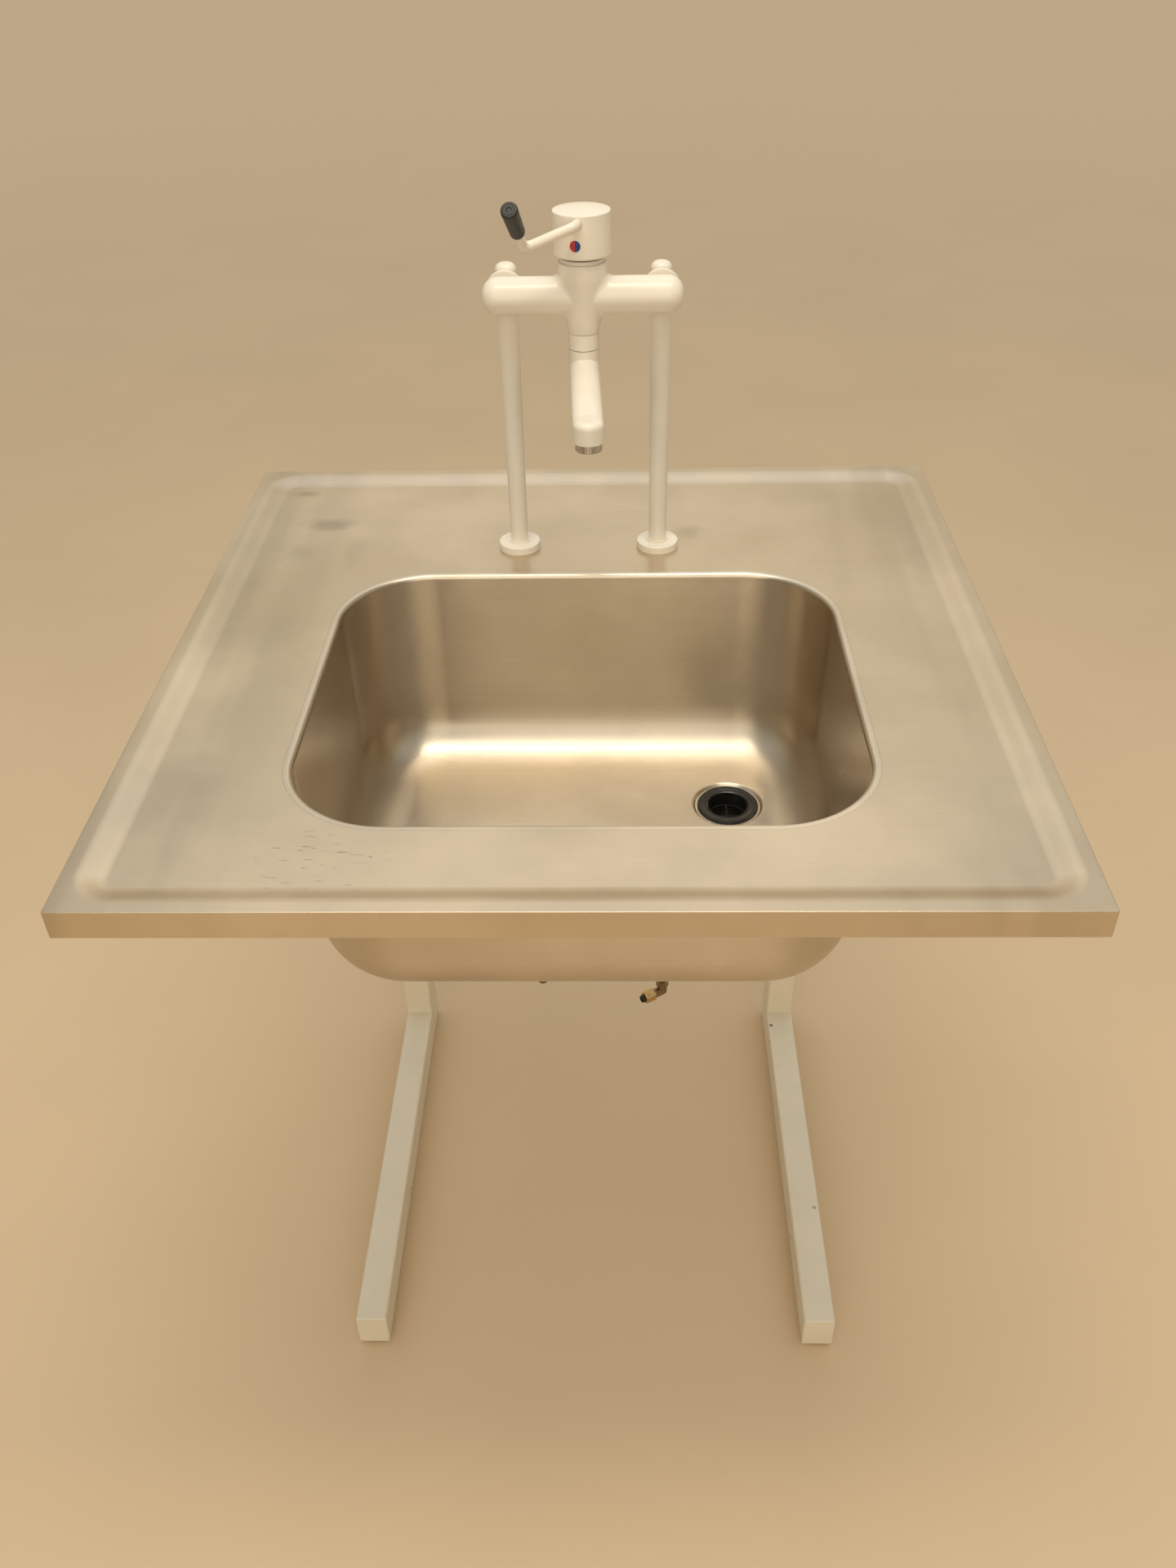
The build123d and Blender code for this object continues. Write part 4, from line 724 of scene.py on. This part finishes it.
class SINK_OT_mixer(bpy.types.Operator):
    """Mixer body with its cartridge and the ring under the cap"""

    bl_idname = "sink.mixer"
    bl_label = "Mixer"

    def execute(self, context):
        smooth_copy("mixer_body", "white coat", 40)
        smooth_copy("cartridge_ring", "white coat")
        smooth_copy("cartridge", "grey plastic")
        smooth_copy("cartridge_carrier", "grey plastic")
        dress("inlet_washers", "rubber")
        return {"FINISHED"}


class SINK_OT_lever(bpy.types.Operator):
    """Lever cap, cranked rod, grip and the two-colour mark"""

    bl_idname = "sink.lever"
    bl_label = "Lever"

    def execute(self, context):
        smooth_copy("lever_cap", "white coat")
        self.make_rod()
        self.make_grip()
        smooth_copy("lever_spindle", "zinc")
        smooth_copy("hot_mark", "red plastic")
        smooth_copy("cold_mark", "blue plastic")
        smooth_copy("cap_grub_screw", "zinc")
        return {"FINISHED"}

    def make_rod(self):
        points = [on_lever(p) for p in ROD_POINTS]
        points[-1] -= (points[-1] - points[-2]).normalized() * ROD_END_IN_GRIP
        bm = tube_on(rounded_route(points, ROD_BEND), ROD_RADIUS)
        finished(bm, "bent_rod", "white coat", "lever", ("lever_rod",))

    def make_grip(self):
        low, end = on_lever(ROD_POINTS[2]), on_lever(ROD_POINTS[3])
        direction = (end - low).normalized()
        length = GRIP_LENGTH
        outline = (
            (0, 0.4), (4.9, 0.4), (5.1, 0), (6.0, 0), (6.7, 0.4), (7.0, 1.2), (7.8, length - 1.9),
            (7.6, length - 0.9), (7.0, length - 0.2), (6.4, length), (5.3, length), (5.1, length - 0.3), (4.7, length - 0.3),
            (4.5, length), (2.6, length), (2.3, length - 0.3), (2.0, length - 0.8), (0, length - 0.8))
        bm = spun([(r * MM, z * MM) for r, z in outline], end - direction * length * MM, direction)
        finished(bm, "grip_sleeve", "black plastic", "lever", ("lever_grip",), 40)


class SINK_OT_spout(bpy.types.Operator):
    """Spout with its collar, sealing rings, aerator and thin black rings that paint the shadow in its seams"""

    bl_idname = "sink.spout"
    bl_label = "Spout"

    def execute(self, context):
        smooth_copy("spout_collar", "white coat")
        smooth_copy("spout", "white coat", 40)
        smooth_copy("spout_neck_rings", "rubber")
        self.make_seam_shadows()
        smooth_copy("aerator_housing", "chrome")
        smooth_copy("aerator_insert", "grey plastic")
        return {"FINISHED"}

    def make_seam_shadows(self):
        """Thin dark rings in the seams above and below the collar: painted shadow standing in for the shade in the
        gaps, not sealing rings
        """
        outline = ((11.1, 0), (14.1, 0), (14.1, 0.44), (11.1, 0.44))
        for name, height in SEAM_SHADOW_RINGS:
            place = (MIXER_FOOT[0], MIXER_FOOT[1], MIXER_FOOT[2] + height * MM)
            finished(spun([(r * MM, z * MM) for r, z in outline], place, ring=True), name, "painted shade black", "stand")


class SINK_OT_supply(bpy.types.Operator):
    """Supply tails with their brass fittings"""

    bl_idname = "sink.supply"
    bl_label = "Supply tails"

    def execute(self, context):
        smooth_copy("left_supply_tail", "copper")
        smooth_copy("right_supply_tail", "copper")
        smooth_copy("supply_elbow", "dark brass")
        smooth_copy("elbow_tail_nut", "dark brass")
        smooth_copy("elbow_outlet_nut", "brass")
        smooth_copy("elbow_olive", "rubber")
        smooth_copy("tail_coupling", "dark brass")
        return {"FINISHED"}


class SINK_OT_legs(bpy.types.Operator):
    """Leg frames of rectangular tube with their caps, glides and cross rail"""

    bl_idname = "sink.legs"
    bl_label = "Legs"

    def execute(self, context):
        for side in ("left", "right"):
            for part in ("_foot", "_post", "_top_arm"):
                smooth_copy(side + part, "grey coat")
        smooth_copy("foot_end_caps", "grey coat")
        smooth_copy("top_arm_end_caps", "grey coat")
        smooth_copy("cross_rail", "grey coat")
        smooth_copy("foot_glides", "black plastic")
        return {"FINISHED"}


class SINK_OT_stage(bpy.types.Operator):
    """Plain floor, soft lamps, world and the camera of the photograph"""

    bl_idname = "sink.stage"
    bl_label = "Stage"

    def execute(self, context):
        tones = context.scene.sink_finishes
        self.make_floor(tones.floor)
        self.make_world(tones.floor)
        self.make_lamps()
        self.make_camera()
        context.scene.view_settings.view_transform = "Standard"
        return {"FINISHED"}

    def make_floor(self, colour):
        bm = bmesh.new()
        bmesh.ops.create_circle(bm, cap_ends=True, radius=FLOOR_RADIUS, segments=96)
        mesh = bpy.data.meshes.new("floor")
        bm.to_mesh(mesh)
        bm.free()
        floor = bpy.data.objects.new("floor", mesh)
        bpy.context.scene.collection.objects.link(floor)
        f = Finish("pale_floor", Roughness=0.75, Specular_IOR_Level=0.2)
        cloud = f.noise(f.mapped(), 1.6, 4, 0.5)
        f.colour(f.blend(f.ramp(cloud, 0.3, 0.7), tinted(colour, 0.97), tinted(colour, 1.02)))
        length = f.add("ShaderNodeVectorMath", operation="LENGTH")
        f.join(f.place, length.inputs[0])
        fade = f.ramp(length.outputs["Value"], 3.0, 8.5)
        clear = f.add("ShaderNodeBsdfTransparent")
        mix = f.add("ShaderNodeMixShader")
        output = f.tree.nodes["Material Output"]
        f.join(fade, mix.inputs["Fac"])
        f.join(f.shader.outputs["BSDF"], mix.inputs[1])
        f.join(clear.outputs["BSDF"], mix.inputs[2])
        f.join(mix.outputs["Shader"], output.inputs["Surface"])
        mesh.materials.append(f.material)

    def make_world(self, colour):
        world = bpy.data.worlds.new("studio")
        bpy.context.scene.world = world
        world.use_nodes = True
        tree = world.node_tree
        tree.nodes.clear()

        def add(kind, **settings):
            node = tree.nodes.new(kind)
            for key, value in settings.items():
                setattr(node, key, value)
            return node

        output = add("ShaderNodeOutputWorld")
        lit, seen = add("ShaderNodeBackground"), add("ShaderNodeBackground")
        mix = add("ShaderNodeMixShader")
        path = add("ShaderNodeLightPath")
        seen.inputs["Color"].default_value = (*tinted(colour, 0.71), 1)
        seen.inputs["Strength"].default_value = 1.0
        place = add("ShaderNodeTexCoord")
        split = add("ShaderNodeSeparateXYZ")
        tree.links.new(place.outputs["Generated"], split.inputs[0])
        rise = add("ShaderNodeValToRGB")
        rise.color_ramp.interpolation = "B_SPLINE"
        stops = ((0.0, 0.38), (0.50, 0.48), (0.69, 0.75), (0.78, 1.10), (0.85, 1.90), (0.92, 3.20), (1.0, 3.80))
        band = rise.color_ramp.elements
        while len(band) < len(stops):
            band.new(0.5)
        for element, (place_on_band, value) in zip(band, stops):
            element.position = place_on_band
            element.color = (value, value * 0.86, value * 0.64, 1)
        half = add("ShaderNodeMapRange")
        half.inputs["From Min"].default_value = -1.0
        tree.links.new(split.outputs["Z"], half.inputs["Value"])
        tree.links.new(half.outputs["Result"], rise.inputs["Fac"])
        across = add("ShaderNodeMath", operation="ABSOLUTE")
        tree.links.new(split.outputs["X"], across.inputs[0])
        shade = None
        for source, low, high, start, end in (
                (split.outputs["Y"], -0.9, 0.2, 0.55, 1.0), (across.outputs[0], 0.08, 0.60, 1.0, 0.62)):
            part = add("ShaderNodeMapRange", interpolation_type="SMOOTHSTEP")
            part.inputs["From Min"].default_value = low
            part.inputs["From Max"].default_value = high
            part.inputs["To Min"].default_value = start
            part.inputs["To Max"].default_value = end
            tree.links.new(source, part.inputs["Value"])
            scale = add("ShaderNodeMix", data_type="RGBA", blend_type="MULTIPLY")
            scale.inputs["Factor"].default_value = 1.0
            tree.links.new(shade or rise.outputs["Color"], scale.inputs[6])
            tree.links.new(part.outputs["Result"], scale.inputs[7])
            shade = scale.outputs[2]
        tree.links.new(scale.outputs[2], lit.inputs["Color"])
        lit.inputs["Strength"].default_value = 1.0
        tree.links.new(path.outputs["Is Camera Ray"], mix.inputs["Fac"])
        tree.links.new(lit.outputs["Background"], mix.inputs[1])
        tree.links.new(seen.outputs["Background"], mix.inputs[2])
        tree.links.new(mix.outputs["Shader"], output.inputs["Surface"])

    def make_lamps(self):
        lamps = (
            ("key", (0.05, -0.40, 3.0), (0, 0.0, 0.8), (1.5, 0.45), 21, (1.0, 0.90, 0.73)),
            ("fill", (-0.1, -3.7, 1.9), (0, 0, 0.75), (3.8, 2.6), 52, (1.0, 0.91, 0.76)),
        )
        for name, place, target, size, power, tone in lamps:
            data = bpy.data.lights.new(name, "AREA")
            data.shape = "RECTANGLE"
            data.size, data.size_y = size
            data.energy = power
            data.color = tone
            lamp = bpy.data.objects.new(name, data)
            lamp.location = place
            lamp.rotation_euler = (Vector(target) - Vector(place)).to_track_quat("-Z", "Y").to_euler()
            bpy.context.scene.collection.objects.link(lamp)

    def make_camera(self):
        data = bpy.data.cameras.new("camera")
        data.sensor_width = 36.0
        data.lens = data.sensor_width * FOCAL_PIXELS / PHOTO_HEIGHT
        data.clip_end = 60
        camera = bpy.data.objects.new("camera", data)
        pitch, yaw, roll = (math.radians(angle) for angle in CAMERA_ANGLES)
        forward = Vector((math.sin(yaw) * math.cos(pitch), math.cos(yaw) * math.cos(pitch), -math.sin(pitch)))
        right = Vector((math.cos(yaw), -math.sin(yaw), 0))
        up = right.cross(forward)
        across = right * math.cos(roll) + up * math.sin(roll)
        upward = up * math.cos(roll) - right * math.sin(roll)
        turn = Matrix((across, upward, -forward)).transposed()
        camera.matrix_world = Matrix.Translation(CAMERA_PLACE) @ turn.to_4x4()
        bpy.context.scene.collection.objects.link(camera)
        bpy.context.scene.camera = camera


class SINK_PT_panel(bpy.types.Panel):
    """Sizes, finishes and one button for each group of pieces"""

    bl_label = "Laboratory sink"
    bl_idname = "SINK_PT_panel"
    bl_space_type = "VIEW_3D"
    bl_region_type = "UI"
    bl_category = "Sink"

    def draw(self, context):
        layout = self.layout
        for group in (context.scene.sink_sizes, context.scene.sink_finishes):
            box = layout.box()
            for name in group.bl_rna.properties.keys():
                if name not in ("rna_type", "name"):
                    box.prop(group, name)
        for operator in OPERATORS:
            layout.operator(operator.bl_idname)


OPERATORS = (
    SINK_OT_worktop,
    SINK_OT_bowl,
    SINK_OT_waste,
    SINK_OT_board,
    SINK_OT_pillars,
    SINK_OT_mixer,
    SINK_OT_lever,
    SINK_OT_spout,
    SINK_OT_supply,
    SINK_OT_legs,
    SINK_OT_stage,
)
CLASSES = (SinkSizes, SinkFinishes, *OPERATORS, SINK_PT_panel)


def register():
    for cls in CLASSES:
        bpy.utils.register_class(cls)
    bpy.types.Scene.sink_sizes = bpy.props.PointerProperty(type=SinkSizes)
    bpy.types.Scene.sink_finishes = bpy.props.PointerProperty(type=SinkFinishes)


def unregister():
    del bpy.types.Scene.sink_finishes
    del bpy.types.Scene.sink_sizes
    for cls in reversed(CLASSES):
        bpy.utils.unregister_class(cls)


def main():
    register()
    FINISHES.update(make_finishes())
    bpy.ops.sink.worktop()
    bpy.ops.sink.bowl()
    bpy.ops.sink.waste()
    bpy.ops.sink.board()
    bpy.ops.sink.pillars()
    bpy.ops.sink.mixer()
    bpy.ops.sink.lever()
    bpy.ops.sink.spout()
    bpy.ops.sink.supply()
    bpy.ops.sink.legs()
    bpy.ops.sink.stage()


if __name__ == "__main__":
    main()
